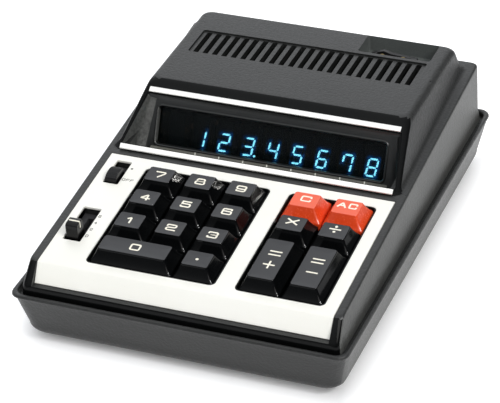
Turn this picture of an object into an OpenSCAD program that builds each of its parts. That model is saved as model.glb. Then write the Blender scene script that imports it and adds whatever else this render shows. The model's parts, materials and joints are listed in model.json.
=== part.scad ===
// Desktop calculator of the early 1970s with a fluorescent tube display.
// Millimetres, +Z up, front at -Y, origin on the table under the middle of the rim.

/* [Body] */
// Width over the rim of the bottom case
body_w = 152; // [146:1:170]
// Depth over the rim of the bottom case
body_d = 206; // [202:1:230]
// Height of the rim above the table
rim_z = 25.3; // [24:0.1:27]
// How far the bottom case draws in from the rim to its floor
tray_inset = 4; // [3:0.25:6]
// Corner radius of the rim
corner_r = 5; // [4:0.25:8]
// Corner radius of the bottom case below its rim
tray_r = 8; // [6:0.5:12]
// Corner radius of the top case
case_corner_r = 5.6; // [2.5:0.1:6]
// Radius of the rounded lower edge of the bottom case
tray_edge_r = 6; // [4:0.5:8]
// Wall thickness of both case halves
wall = 2.4; // [2:0.1:2.8]
// Height that the feet hold the case above the table
foot_h = 2.5; // [2:0.25:3.5]
// Width of the groove between the top case and the rim
groove_w = 1.6; // [1:0.1:2.2]
// Depth of that groove below the rim
groove_h = 2.5; // [1.5:0.25:3]

/* [Deck] */
// Height of the bend between keyboard deck and front fascia
bend_z = 36.7; // [36:0.1:39]
// Distance from the rim's front edge back to that bend
bend_back = 12.1; // [11:0.1:14]
// Rise of the deck towards the back, in degrees
deck_slope = 4.6; // [4:0.1:5.5]
// Distance of the deck edge inside the rim, on each side
ledge_in = 5.4; // [4.8:0.1:6.5]
// Width of the black ledge beside the white face plate
plate_in = 4; // [3.4:0.1:4.8]
// Length of the face plate up the deck as a share of the body's depth
plate_share = 0.388; // [0.383:0.001:0.393]
// Thickness of the face plate
plate_t = 1.2; // [0.8:0.1:1.6]
// Length of the folded front fascia
fascia_len = 9.7; // [8:0.1:10.5]
// Slope of the fascia below the horizontal, in degrees
fascia_slope = 51; // [48:1:55]

/* [Keys] */
// Column pitch of the keys as a share of the body's width
key_px_share = 0.12533; // [0.123:0.0005:0.1265]
// Row pitch of the keys as a share of the face plate's length
key_py_share = 0.2106; // [0.208:0.0002:0.2124]
// Middle of the number block as a share of the plate's half width
number_share = -0.2628; // [-0.27:0.001:-0.255]
// Middle of the operator block as a share of the plate's half width
operator_share = 0.611; // [0.604:0.001:0.618]
// Middle of the front key row, measured up the deck from the bend
row_0 = 14.3; // [14:0.1:14.8]
// Gap between the skirts of neighbouring keys
key_gap = 0.9; // [0.7:0.05:1.2]
// Slope inset of a key's sides from skirt to top
key_draft = 3.1; // [2.4:0.1:3.4]
// Height of the key tops above the deck
key_rise = 4.8; // [4:0.1:5.5]
// Depth of the key skirts below the deck
key_sink = 4.2; // [3.8:0.1:4.4]
// Depth below the deck at which a key's straight skirt turns into its sloping sides
key_bend = 0.8; // [0.4:0.1:1.6]
// Travel of a key
key_travel = 3; // [2.5:0.1:3.2]
// Wall of a key cap
cap_wall = 1.5; // [1.2:0.1:1.8]
// Diameter of a key stem
stem_d = 6; // [5:0.1:6.5]
// Margin between the key blocks and the edges of the key wells
well_margin = 1.35; // [1:0.05:1.5]

/* [Hood] */
// Height of the flat top of the hood
hood_z = 63.6; // [62.5:0.1:66]
// Distance of the hood's foot inside the deck edge
hood_in = 3.9; // [3.4:0.1:4.6]
// Sideways lean of the hood walls, in mm per mm of height
hood_lean = 0.237; // [0.2:0.005:0.26]
// Distance of the hood's rear top edge in front of the rim's rear edge
hood_rear_in = 11.7; // [11:0.1:13]
// Rounding of the hood's top edges
hood_edge_r = 3; // [2:0.25:3.5]
// Distance between the face plate and the foot of the sloping hood front
front_gap = 3.47; // [3:0.01:4]
// Slope of the hood front, in degrees
front_slope = 32.6; // [31.5:0.1:33.5]
// Number of ventilation slots
vent_count = 23; // [15:1:27]
// Distance of the ventilation field inside the hood's foot, on each side
vent_in = 13.2; // [12.5:0.1:20]
// Distance of the ventilation field in front of the hood's rear top edge
vent_rear_in = 20.1; // [19.5:0.1:23]
// Length of the ventilation field
vent_len = 19; // [15:0.5:19.5]
// Share of each vent pitch that is open
vent_share = 0.55; // [0.4:0.05:0.65]
// Sinking of the ventilation field
vent_sink = 0.8; // [0.4:0.1:1.2]

/* [Display] */
// Backward lean of the display face, in degrees
display_lean = 24.5; // [22:0.5:26]
// Distance of the display opening's foot inside the hood's foot
mouth_in = 2.5; // [2.3:0.1:3]
// Taper of the display opening from foot to top, on each side
mouth_taper = 4.6; // [4.4:0.1:5.2]
// Distance of the clear window inside the top of the display opening
window_in = 5.6; // [5:0.1:9]
// Height of the window as a share of the bezel's
window_share = 0.639; // [0.58:0.005:0.66]
// Height of the bezel's lower bar as a share of the bezel's
sill_share = 0.1805; // [0.15:0.005:0.19]
// Number of display tubes
tube_count = 9; // [8:1:11]
// Width that the row of tubes leaves free in the window
tube_side = 2.7; // [2:0.1:6]
// Space between neighbouring tubes
tube_space = 1.7; // [1.4:0.1:2.4]
// Width of the chrome trim strips
trim_w = 2.6; // [2:0.1:2.8]
// Thickness of the chrome trim strips
trim_t = 0.8; // [0.5:0.1:0.9]

/* [Slide switches] */
// Middle of both slide switch slots as a share of the plate's half width
slide_share = -0.8784; // [-0.882:0.001:-0.874]
// Width of the power switch slot
power_slot_w = 7; // [6.6:0.1:7.4]
// Length of the power switch slot
power_slot_len = 16.7; // [16.5:0.1:17.4]
// Distance of the power switch slot's middle from the plate's rear edge
power_rear_in = 12.6; // [12.1:0.1:13.4]
// Travel of the power switch
power_travel = 6.5; // [5:0.1:6.8]
// Width of the decimal selector slot
decimal_slot_w = 8.2; // [7.8:0.1:8.6]
// Length of the decimal selector slot
decimal_slot_len = 23.4; // [23.2:0.1:24.5]
// Middle of the decimal selector slot up the deck
decimal_s = 28.7; // [28:0.1:29.5]
// Step between two decimal positions
decimal_step = 4.7; // [4.3:0.1:4.8]
// Number of steps of the decimal selector
decimal_steps = 3; // [2:1:3]

/* [Inside] */
// Thickness of the circuit boards
board_t = 1.6; // [1.2:0.1:2]
// Height of the main board above the table
board_z = 10; // [9:0.25:10.5]
// Width of the transformer core
core_w = 42; // [36:1:46]
// Depth of the transformer core
core_d = 22; // [18:1:26]
// Height of the transformer core
core_h = 36; // [30:1:38]
// Diameter of the case screws
case_screw_d = 3; // [2.6:0.1:3.4]
// Diameter of the small board screws
board_screw_d = 2.4; // [2:0.1:2.6]
// Diameter of the rubber feet
foot_d = 12; // [9:0.5:14]
// Width of the power inlet pocket
inlet_w = 34.6; // [30:0.2:35]
// Depth of the power inlet pocket, front to back
inlet_d = 15.6; // [14:0.2:15.8]
// Sinking of the power inlet pocket below the hood top
inlet_sink = 8; // [6:0.25:9]

/* [Hidden] */
$fn = 48;
HULL_FN = 32;
EPS = 0.01;
BIG = 400;

// Fits and clearances
run_fit = 0.06;
slide_fit = 0.3;
screw_fit = 0.05;
seat_gap = 0.2;
key_clear = 0.3;

// Deck
bend_y = -body_d / 2 + bend_back;
fold = fascia_slope + deck_slope;
deck_under = plate_t + wall;
plate_len = body_d * plate_share;
front_s = plate_len + front_gap;
power_s = plate_len - power_rear_in;
ledge_end_in = 3.7;
ledge_end_s = (body_d / 2 - ledge_end_in - bend_y) / cos(deck_slope);
ledge_r = 6;
ledge_half_w = body_w / 2 - ledge_in;
plate_half_w = ledge_half_w - plate_in;
case_half_w = body_w / 2 - wall - groove_w;
case_half_d = body_d / 2 - wall - groove_w;
case_bottom_z = rim_z - groove_h;
case_ledge_h = 2;
brow_z = 28.6;
brow_in = 1.2;
brow_side_in = 0.6;
pocket_open = 5;
pocket_ahead = 20;
cut_over = 3;

// Keys
key_px = body_w * key_px_share;
key_py = plate_len * key_py_share;
number_x = plate_half_w * number_share;
operator_x = plate_half_w * operator_share;
skirt_w = key_px - key_gap;
skirt_d = key_py - key_gap;
number_cols = 3;
operator_cols = 2;
key_rows = 4;
well_corner_r = 2.5;
frame_t = 2;
frame_clear = 1;
frame_n = -(key_sink + key_travel + key_clear + frame_clear);
frame_low_n = frame_n - frame_t;
switch_h = 7;
switch_w = 13;
board_n = frame_low_n - switch_h;
switch_floor = 1;
stem_end_n = board_n + switch_floor + key_clear + key_travel;
frame_side = 2.4;
frame_half_w = ledge_half_w - wall - frame_side;
frame_s0 = 5.4;
frame_rear = 2;
frame_s1 = plate_len - frame_rear;
key_board_front = 1;
key_board_rear = 4;

// Frame posts and their screws
slide_x = plate_half_w * slide_share;
post_d = 4.4;
post_out = 4;
post_room = 30;
post_x = [
    (slide_x + decimal_slot_w / 2 + well_left(number_x, number_cols)) / 2,
    (well_right(number_x, number_cols) + well_left(operator_x, operator_cols)) / 2,
    (well_right(operator_x, operator_cols) + plate_half_w) / 2
];
post_s = [row_0 - post_out, row_0 + (key_rows - 1) * key_py + post_out];
frame_head_d = 4.2;
frame_head_h = 1.6;

// Hood
hood_half_w = ledge_half_w - hood_in;
hood_foot_z = 40;
hood_foot_half_w = hood_half_w + hood_lean * (deck_z(front_s) - hood_foot_z);
hood_rear_y = body_d / 2 - hood_rear_in;
hood_front_y = -25;
hood_corner_r = 4;
front_len = (hood_z - deck_z(front_s)) / sin(front_slope);
vent_half_w = hood_half_w - vent_in;
vent_front = hood_rear_y - vent_rear_in - vent_len;
vent_pitch = 2 * vent_half_w / vent_count;
vent_rim = [1, 0.8];
sill_len = 2.8;
sill_edge_s = front_s + sill_len;
sill_run = trim_w * 0.62;
sill_rise = trim_w * 0.786;
strip_foot = 0.2;
strip_lift = 0.4;
strip_gap = 0.2;

// Display
mouth_half_w = hood_half_w - mouth_in;
mouth_top_half_w = mouth_half_w - mouth_taper;
mouth_u0 = 2.4;
brow_len = 7.4;
mouth_u1 = front_len - brow_len;
mouth_seat = 0.3;
bezel_t = 2;
face_drop = 0.8;
bezel_share = 0.884;
bezel_h = mouth_u1 * bezel_share;
window_half_w = mouth_top_half_w - window_in;
window_h = bezel_h * window_share;
window_sill = bezel_h * sill_share;
window_r = 1.5;
bezel_side = 3;
bezel_half_w = window_half_w + bezel_side;
bezel_over = 4;
funnel_over = 8;
funnel_depth = 30;
bezel_post_d = 3.6;
bezel_post_in = 6;
bezel_post_out = 0.6;
bezel_post_bore = 6;
bezel_posts_at = [
    for (x = [-1, 1], t = [bezel_post_in, bezel_h - bezel_post_in]) [x * (bezel_half_w + bezel_post_out), t]
];
window_t = 2;
window_lap = 1.2;
tube_pitch = (2 * window_half_w - tube_side) / tube_count;
tube_d = tube_pitch - tube_space;
tube_short = 6.6;
tube_h = bezel_h - tube_short;
tube_tip_h = 2;
tube_tip_d = 3;
tube_foot = 0.6;
tube_gap = 0.3;
tube_n = -(bezel_t + window_t + tube_gap + tube_d / 2);
tube_board_n = tube_n - tube_d / 2 - seat_gap;
display_board_over = 3.4;
display_board_h = bezel_h + display_board_over;
display_board_side = 3;
ribbon_t = 0.8;
ribbon_gap = 0.05;
ribbon_half_w = 22;
ribbon_low = 4;
ribbon_high = 12;
ribbon_land = 2;
ribbon_bend = [0.3, -0.4];
mouth_wall = 1.6;
mouth_reach = 40;
mouth_lip = 1.2;
bezel_floor = 1.2;
lip_u = mouth_u0 + mouth_lip - mouth_u1;
lip_t = bezel_h + face_drop * cos(display_lean)
    + lip_u * (cos(front_slope) * sin(display_lean) + sin(front_slope) * cos(display_lean));
lip_n = face_drop * sin(display_lean)
    + lip_u * (sin(front_slope) * sin(display_lean) - cos(front_slope) * cos(display_lean));
floor_rise = (lip_t - bezel_floor) / lip_n;

// Slide switches
slide_body_gap = 0.4;
slide_body_top_n = -(deck_under + slide_body_gap);
slide_body_w = 11;
slide_body_over = 2;
slit_w = 2.6;
power_slot_end = 0.7;
power_knob_len = power_slot_len - power_travel - 2 * power_slot_end;
power_knob_rise = 3;
power_ribs = 4;
power_rib_share = 0.6;
power_rib_h = 0.7;
power_blade = 4;
power_rest_s = power_s - power_travel / 2;
decimal_travel = decimal_steps * decimal_step;
decimal_slot_end = 0.9;
decimal_knob_len = decimal_slot_len - decimal_travel - 2 * decimal_slot_end;
decimal_knob_rise = 7;
decimal_sole_t = 1.6;
decimal_tab_half_w = 2.8;
decimal_tab_front = [0.4, 1.4];
decimal_tab_rear = [1, 2];
decimal_tab_edge = 1;
decimal_blade = 3;
decimal_rest_s = decimal_s - decimal_travel / 2;
knob_blade_t = slit_w - 2 * slide_fit;
knob_blade_h = 2.6;

// Case screws
boss_z = 16;
boss_d = 9;
case_post_d = 7;
screw_head_d = 6;
screw_head_h = 2.4;
screw_head_sink = 3.2;
screw_reach = 7;
front_screw_in = 10.6;
front_screw_ahead = 0.8;
front_screw_x = ledge_half_w - front_screw_in;
front_screw_y = bend_y - front_screw_ahead;
rear_screw_in = [7.2, 6.5];
rear_screw_x = hood_half_w - rear_screw_in[0];
rear_screw_y = hood_rear_y - rear_screw_in[1];
case_screws_at = [
    [-front_screw_x, front_screw_y], [front_screw_x, front_screw_y],
    [-rear_screw_x, rear_screw_y], [rear_screw_x, rear_screw_y]
];

// Inside
floor_z = foot_h + wall;
main_in = 20;
main_rear = 1.4;
main_gap = 2;
main_half_w = body_w / 2 - main_in;
main_y0 = front_screw_y + boss_d / 2 + main_gap;
ribbon_t0 = (bezel_h - display_board_h) / 2 + ribbon_low;
ribbon_foot = display_point(ribbon_t0, tube_board_n - board_t - ribbon_gap);
main_y1 = ribbon_foot[0] + ribbon_land + ribbon_t + main_rear;
standoff_d = 6;
board_head_d = 4.6;
board_head_h = 1.8;
board_screw_in = 5;
board_screws_at = [
    for (x = [-1, 1], y = [main_y0 + board_screw_in, (main_y0 + main_y1) / 2, main_y1 - board_screw_in])
        [x * (main_half_w - board_screw_in), y]
];
chip_side = 13;
chip_gap = [14, 11];
chip_d = 13;
chip_h = 3.4;
chip_size = [main_half_w - chip_side - chip_gap[0] / 2, chip_d, chip_h];
chip_rear_in = 68;
capacitor_d = 10;
capacitor_h = 12;
capacitor_in = [22, 36];
capacitor_rear_in = 22;
core_in = [46, 36];
core_at = [-body_w / 2 + core_in[0], body_d / 2 - core_in[1]];
core_leg = core_w / 4;
core_yoke = core_w / 8;
coil_gap = 0.4;
coil_r = 3;
bracket_t = 1.2;
bracket_ear = 8;
bracket_hold = 1.4;
bracket_screws_at = [
    for (x = [-1, 1]) [core_at[0] + x * (core_w / 2 + bracket_ear / 2), core_at[1]]
];
fuse_d = 5;
fuse_len = 20;
fuse_over = 1;
fuse_out = [15, -16];
fuse_at = [core_at[0] + core_w / 2 + bracket_ear + fuse_out[0], core_at[1] + fuse_out[1]];
fuse_lift = 5;
fuse_z = floor_z + fuse_lift;
clip_t = 4;
clip_half_w = 4;
clip_h = 8;
inlet_side_in = 29;
inlet_rear_in = 1.7;
inlet_x = hood_half_w - inlet_side_in;
inlet_y = hood_rear_y - inlet_rear_in - inlet_d / 2;
inlet_wall = 1.6;
inlet_floor_z = hood_z - inlet_sink;
inlet_block = [22, 9, 5.4];
inlet_fall = [3, 1.2];
inlet_shoulder = [7, 6, 2.8];
inlet_well_wall = [2.5, 2];
inlet_well_floor = 1.5;
inlet_inset = [4, 0.6];
inlet_at = [inlet_x - inlet_w / 2 + inlet_inset[0], inlet_y - inlet_d / 2 + inlet_inset[1]];
pin_d = 2;
pin_pitch = 10;
pin_short = 0.6;
foot_in = [18, 34];
foot_seat = 1;
foot_draft = 1.6;

// Colours
case_tint = "#4a4c4b";
tray_tint = "#3c3d3d";
board_tint = "#7a6a3c";
steel_tint = "#b5b7b8";
knob_tint = "#1a1b1c";
key_black = "#37383a";
key_red = "#e0502f";

// Key layout: name, column middle, row middle, columns wide, rows deep
function number_col(c) = number_x + (c - (number_cols - 1) / 2) * key_px;
function operator_col(c) = operator_x + (c - (operator_cols - 1) / 2) * key_px;
function row_s(r) = row_0 + r * key_py;
function well_left(x, cols) = x - cols * key_px / 2 - well_margin + key_gap / 2;
function well_right(x, cols) = x + cols * key_px / 2 + well_margin - key_gap / 2;
KEYS = [
    ["key_0", number_col(0.5), row_s(0), 2, 1],
    ["key_point", number_col(2), row_s(0), 1, 1],
    for (i = [0 : 8]) [str("key_", i + 1), number_col(i % 3), row_s(1 + floor(i / 3)), 1, 1],
    ["key_plus_equals", operator_col(0), row_s(0.5), 1, 2],
    ["key_minus_equals", operator_col(1), row_s(0.5), 1, 2],
    ["key_multiply", operator_col(0), row_s(2), 1, 1],
    ["key_divide", operator_col(1), row_s(2), 1, 1],
    ["key_clear_entry", operator_col(0), row_s(3), 1, 1],
    ["key_all_clear", operator_col(1), row_s(3), 1, 1]
];

// Height of the deck plane at a distance s up the deck from the bend
function deck_z(s) = bend_z + s * sin(deck_slope);
function deck_y(s) = bend_y + s * cos(deck_slope);

// Frames: x across, then up the surface, then out of the surface
module on_deck() {
    translate([0, bend_y, bend_z]) rotate([deck_slope, 0, 0]) children();
}

module on_front() {
    translate([0, deck_y(front_s), deck_z(front_s)]) rotate([front_slope, 0, 0]) children();
}

// The display face meets the top of the display mouth and leans back from there down
module on_display() {
    translate([0, deck_y(front_s), deck_z(front_s)])
        translate([0, mouth_u1 * cos(front_slope), mouth_u1 * sin(front_slope)])
            translate([0, -bezel_h * sin(display_lean), -bezel_h * cos(display_lean) - face_drop])
                rotate([90 - display_lean, 0, 0]) children();
}

// Shapes
module rounded_rect(w, d, r) {
    square([w - 2 * r, d], center = true);
    square([w, d - 2 * r], center = true);
    for (x = [-1, 1], y = [-1, 1]) translate([x * (w / 2 - r), y * (d / 2 - r)]) circle(r);
}

module slab(half_w, y0, y1, r, z) {
    translate([0, (y0 + y1) / 2, z]) linear_extrude(EPS) rounded_rect(2 * half_w, y1 - y0, r, $fn = HULL_FN);
}

module box(x0, x1, y0, y1, z0, z1) {
    translate([x0, y0, z0]) cube([x1 - x0, y1 - y0, z1 - z0]);
}

// A closed outline in the second and third axes, drawn out across x
module prism_x(half_w, points) {
    rotate([90, 0, 90]) translate([0, 0, -half_w]) linear_extrude(2 * half_w) polygon(points);
}

module pin(x, y, z0, z1, d) {
    translate([x, y, z0]) cylinder(h = z1 - z0, d = d);
}

// Bottom case
module tray_block(inset, z0) {
    hull() {
        slab(body_w / 2 - inset, -body_d / 2 + inset, body_d / 2 - inset, corner_r - inset / 2, rim_z);
        for (a = [0 : 22.5 : 90]) {
            draw = tray_inset + inset + (tray_edge_r - inset / 2) * (1 - sin(a));
            slab(body_w / 2 - draw, -body_d / 2 + draw, body_d / 2 - draw, tray_r - inset / 2,
                z0 + (tray_edge_r - inset / 2) * (1 - cos(a)));
        }
    }
}

module bottom_case() {
    color(tray_tint) difference() {
        union() {
            difference() {
                tray_block(0, foot_h);
                tray_block(wall, floor_z);
                slab_cut();
            }
            case_ledge();
            for (p = case_screws_at) pin(p[0], p[1], floor_z - EPS, boss_z, boss_d);
            for (p = board_screws_at) pin(p[0], p[1], floor_z - EPS, board_z, standoff_d);
        }
        for (p = case_screws_at) {
            pin(p[0], p[1], 0, boss_z + 1, case_screw_d + 2 * screw_fit);
            pin(p[0], p[1], 0, foot_h + screw_head_sink, screw_head_d + 1);
        }
        for (p = board_screws_at) pin(p[0], p[1], floor_z, board_z + 1, board_screw_d + 2 * screw_fit);
        for (p = bracket_screws_at)
            pin(p[0], p[1], floor_z - bracket_hold, floor_z + 1, case_screw_d + 2 * screw_fit);
        for (p = feet_at()) pin(p[0], p[1], 0, foot_h + foot_seat, foot_d + 2 * seat_gap);
    }
}

// Opens the tray's top face cleanly
module slab_cut() {
    translate([0, 0, rim_z - EPS])
        linear_extrude(1) rounded_rect(body_w - 2 * wall, body_d - 2 * wall, corner_r - wall / 2);
}

// Ledge inside the rim that carries the top case
module case_ledge() {
    ledge_w = 2 * case_half_w - 2 * wall;
    ledge_d = 2 * case_half_d - 2 * wall;
    translate([0, 0, case_bottom_z - case_ledge_h]) linear_extrude(case_ledge_h) difference() {
        rounded_rect(body_w - wall, body_d - wall, corner_r - wall / 2);
        rounded_rect(ledge_w, ledge_d, case_corner_r / 2);
    }
}

// Top case
module body_block(inset, under) {
    top_r = ledge_r - inset / 2;
    hull() {
        slab(case_half_w - inset, -case_half_d + inset, case_half_d - inset, case_corner_r, case_bottom_z);
        slab(case_half_w - brow_side_in - inset,
            -case_half_d + brow_in + inset, case_half_d - brow_in - inset, case_corner_r, brow_z);
        on_deck() slab(ledge_half_w - inset, inset, ledge_end_s - inset, top_r, -under - EPS);
    }
}

module hood_block(inset) {
    top_z = hood_z - inset;
    hull() {
        slab(hood_foot_half_w - inset, hood_front_y,
            hood_rear_y + hood_lean * (hood_z - hood_foot_z) - inset, hood_corner_r - inset / 2, hood_foot_z);
        for (a = [0 : 22.5 : 90]) {
            edge = hood_edge_r - inset / 2;
            z = top_z - edge * (1 - sin(a));
            draw = edge * (1 - cos(a)) + inset;
            lean = hood_lean * (z - hood_foot_z);
            slab(hood_foot_half_w - lean - draw, hood_front_y,
                hood_rear_y + hood_lean * (hood_z - z) - draw, hood_corner_r - inset / 2, z);
        }
    }
}

// Everything in front of the sloping hood front
module front_cut(lower) {
    on_front() translate([-BIG / 2, -BIG / 4, -lower]) cube([BIG, BIG, BIG]);
}

module hood_shell() {
    difference() {
        hood_block(0);
        front_cut(0);
    }
}

module hood_hollow() {
    difference() {
        hood_block(wall);
        front_cut(wall);
    }
}

module mouth(inset, v0, v1) {
    on_front() translate([0, 0, v0]) linear_extrude(v1 - v0) polygon([
        [-mouth_half_w + inset, mouth_u0 + inset], [mouth_half_w - inset, mouth_u0 + inset],
        [mouth_top_half_w - inset, mouth_u1 - inset], [-mouth_top_half_w + inset, mouth_u1 - inset]
    ]);
}

// Raised sill behind the face plate that carries the lower strip
module strip_sill() {
    top_n = sill_rise + strip_lift;
    on_deck() prism_x(mouth_half_w, [
        [front_s - strip_foot, -EPS], [front_s + sill_run + trim_t, top_n],
        [sill_edge_s, top_n], [sill_edge_s, -EPS]
    ]);
}

module well_cuts(depth) {
    for (w = [[number_x, number_cols], [operator_x, operator_cols]]) {
        width = well_right(w[0], w[1]) - well_left(w[0], w[1]);
        length = key_rows * key_py - key_gap + 2 * well_margin;
        translate([w[0], row_s((key_rows - 1) / 2), -depth])
            linear_extrude(depth + 1) rounded_rect(width, length, well_corner_r);
    }
}

module slot_cuts(depth) {
    translate([slide_x, power_s, -depth])
        linear_extrude(depth + 1) square([power_slot_w, power_slot_len], center = true);
    translate([slide_x, decimal_s, -depth])
        linear_extrude(depth + 1) square([decimal_slot_w, decimal_slot_len], center = true);
}

module plate_profile(half_w, length, fascia) {
    prism_x(half_w, [
        [length, 0], [0, 0], [-fascia * cos(fold), -fascia * sin(fold)],
        [-fascia * cos(fold) + plate_t * sin(fold), -fascia * sin(fold) - plate_t * cos(fold)],
        [plate_t * tan(fold / 2), -plate_t], [length, -plate_t]
    ]);
}

// Room for the folded plate: its profile, opened outwards
module plate_pocket() {
    on_deck() prism_x(plate_half_w + seat_gap, [
        [plate_len + seat_gap, pocket_open], [-pocket_ahead, pocket_open],
        [-pocket_ahead - fascia_len * cos(fold), -fascia_len * sin(fold) - seat_gap],
        [-fascia_len * cos(fold) + plate_t * sin(fold),
            -fascia_len * sin(fold) - plate_t * cos(fold) - seat_gap],
        [plate_t * tan(fold / 2), -plate_t], [plate_len + seat_gap, -plate_t]
    ]);
}

module vent_cuts() {
    box(-vent_half_w - vent_rim[0], vent_half_w + vent_rim[0],
        vent_front - vent_rim[1], vent_front + vent_len + vent_rim[1], hood_z - vent_sink, hood_z + 1);
    for (i = [0 : vent_count - 1]) {
        x = -vent_half_w + (i + 0.5) * vent_pitch;
        box(x - vent_pitch * vent_share / 2, x + vent_pitch * vent_share / 2,
            vent_front, vent_front + vent_len, hood_z - 2 * wall, hood_z);
    }
}

module inlet_box(grow, z0, z1) {
    box(inlet_x - inlet_w / 2 - grow, inlet_x + inlet_w / 2 + grow,
        inlet_y - inlet_d / 2 - grow, inlet_y + inlet_d / 2 + grow, z0, z1);
}

module top_posts() {
    on_deck() for (x = post_x, s = post_s) pin(x, s, frame_n, -deck_under + EPS, post_d);
    for (p = case_screws_at) pin(p[0], p[1], boss_z, p[1] < 0 ? bend_z : hood_z, case_post_d);
}

module top_case() {
    color(case_tint) difference() {
        union() {
            difference() {
                union() {
                    body_block(0, 0);
                    hood_shell();
                }
                difference() {
                    body_block(wall, deck_under);
                    translate([0, 0, -BIG + case_bottom_z]) cube(BIG, center = true);
                }
                translate([0, 0, case_bottom_z - 1]) linear_extrude(1 + EPS * 2)
                    rounded_rect(2 * (case_half_w - wall), 2 * (case_half_d - wall), case_corner_r);
                hood_hollow();
            }
            strip_sill();
            intersection() {
                top_posts();
                union() {
                    body_block(wall / 2, deck_under / 2);
                    hood_block(wall / 2);
                    translate([0, 0, boss_z])
                        cube([2 * case_half_w, 2 * case_half_d, post_room], center = true);
                }
            }
            inlet_box(inlet_wall, inlet_floor_z - inlet_wall, hood_z - 1);
        }
        plate_pocket();
        on_deck() {
            well_cuts(deck_under + cut_over);
            slot_cuts(deck_under + cut_over);
            for (x = post_x, s = post_s) pin(x, s, frame_n - 1, -deck_under, board_screw_d + 2 * screw_fit);
        }
        mouth(0, -BIG / 8, cut_over);
        vent_cuts();
        inlet_box(0, inlet_floor_z, hood_z + 1);
        for (p = case_screws_at)
            pin(p[0], p[1], boss_z - 1, boss_z + screw_reach + 1, case_screw_d + 2 * screw_fit);
    }
}

// Face plate and trim
module faceplate() {
    color("#f2efe2") on_deck() difference() {
        plate_profile(plate_half_w, plate_len, fascia_len);
        well_cuts(plate_t + 1);
        slot_cuts(plate_t + 1);
    }
}

module lower_trim_strip() {
    foot = [front_s - strip_foot, 0];
    run = [sill_run + trim_t + strip_foot, sill_rise + strip_lift];
    size = norm(run);
    up = run / size;
    out = [-up[1], up[0]];
    start = foot + up * (size - trim_w);
    color("silver") on_deck() prism_x(mouth_half_w, [
        start, start + up * trim_w, start + up * trim_w + out * trim_t, start + out * trim_t
    ]);
}

module upper_trim_strip() {
    u = mouth_u1 + strip_gap;
    color("silver") on_front() translate([0, u + trim_w / 2, trim_t / 2])
        cube([2 * mouth_top_half_w, trim_w, trim_t], center = true);
}

// Display
module funnel() {
    // Wedge of air between the hood front and the display face
    intersection() {
        on_front() translate([0, 0, -funnel_depth]) linear_extrude(funnel_depth + cut_over) polygon([
            [-mouth_half_w + mouth_wall, -BIG], [mouth_half_w - mouth_wall, -BIG],
            [mouth_top_half_w - mouth_wall, mouth_u1], [-mouth_top_half_w + mouth_wall, mouth_u1]
        ]);
        on_display() prism_x(BIG / 2, [
            [bezel_floor, 0], [bezel_h + funnel_over, 0], [bezel_h + funnel_over, mouth_reach],
            [bezel_floor + mouth_reach * floor_rise, mouth_reach]
        ]);
    }
}

module display_bezel() {
    color("#242626") difference() {
        union() {
            difference() {
                intersection() {
                    mouth(seat_gap, -BIG / 8, -mouth_seat);
                    on_display() prism_x(BIG / 2, [
                        [bezel_floor - mouth_wall - bezel_t * floor_rise, -bezel_t],
                        [bezel_h + bezel_over, -bezel_t],
                        [bezel_h + funnel_over, mouth_reach],
                        [bezel_floor - mouth_wall + mouth_reach * floor_rise, mouth_reach]
                    ]);
                }
                funnel();
            }
            on_display() for (p = bezel_posts_at)
                pin(p[0], p[1], tube_board_n, -bezel_t + EPS, bezel_post_d);
        }
        on_display() translate([0, window_sill + window_h / 2, -bezel_t - 1])
            linear_extrude(bezel_t + 2) rounded_rect(2 * window_half_w, window_h, window_r);
        on_display() for (p = bezel_posts_at)
            pin(p[0], p[1], tube_board_n - 1, tube_board_n + bezel_post_bore, board_screw_d - 1);
    }
}

module display_window() {
    color("#0a0c0e") on_display() translate([0, window_sill + window_h / 2, -bezel_t - window_t])
        linear_extrude(window_t)
            rounded_rect(2 * (window_half_w + window_lap), window_h + 2 * window_lap, window_r);
}

module display_tubes() {
    color("#8fb0a8") on_display() for (i = [0 : tube_count - 1]) {
        x = (i - (tube_count - 1) / 2) * tube_pitch;
        translate([x, tube_foot, tube_n]) rotate([-90, 0, 0]) {
            cylinder(h = tube_h, d = tube_d);
            translate([0, 0, tube_h]) cylinder(h = tube_tip_h, d1 = tube_d, d2 = tube_tip_d);
        }
    }
}

module display_board() {
    color(board_tint) on_display() difference() {
        translate([0, bezel_h / 2, tube_board_n - board_t / 2])
            cube([2 * (bezel_half_w + display_board_side), display_board_h, board_t], center = true);
        for (p = bezel_posts_at) pin(p[0], p[1], tube_board_n - board_t - 1, tube_board_n + 1, board_screw_d);
    }
}

// Flat cable from the display board down to the main board
module display_ribbon() {
    low = ribbon_foot;
    high = low + (ribbon_high - ribbon_low) * [sin(display_lean), cos(display_lean)];
    back = [ribbon_t * cos(display_lean), -ribbon_t * sin(display_lean)];
    land = [low[0] + ribbon_land, board_z + board_t];
    color("#a8a49a") prism_x(ribbon_half_w, [
        low, high, high + back, low + back + ribbon_bend, land + [ribbon_t, 0], land
    ]);
}

// y and z of a point at height t up the display face, n out of it
function display_point(t, n) = [
    deck_y(front_s) + mouth_u1 * cos(front_slope)
        - (bezel_h - t) * sin(display_lean) - n * cos(display_lean),
    deck_z(front_s) + mouth_u1 * sin(front_slope)
        - (bezel_h - t) * cos(display_lean) - face_drop + n * sin(display_lean)
];

// Keyboard
module key_frame() {
    color("#8c8f90") on_deck() difference() {
        box(-frame_half_w, frame_half_w, frame_s0, frame_s1, frame_low_n, frame_n);
        for (k = KEYS) pin(k[1], k[2], frame_low_n - 1, frame_n + 1, stem_d + 2 * run_fit);
        for (x = post_x, s = post_s) pin(x, s, frame_low_n - 1, frame_n + 1, board_screw_d + 2 * screw_fit);
    }
}

module key_switches() {
    color("#d8d4c4") on_deck() for (k = KEYS) difference() {
        box(k[1] - switch_w / 2, k[1] + switch_w / 2,
            k[2] - switch_w / 2, k[2] + switch_w / 2, board_n, frame_low_n);
        pin(k[1], k[2], board_n + switch_floor, frame_low_n + 1, stem_d + 2 * slide_fit);
    }
}

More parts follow.
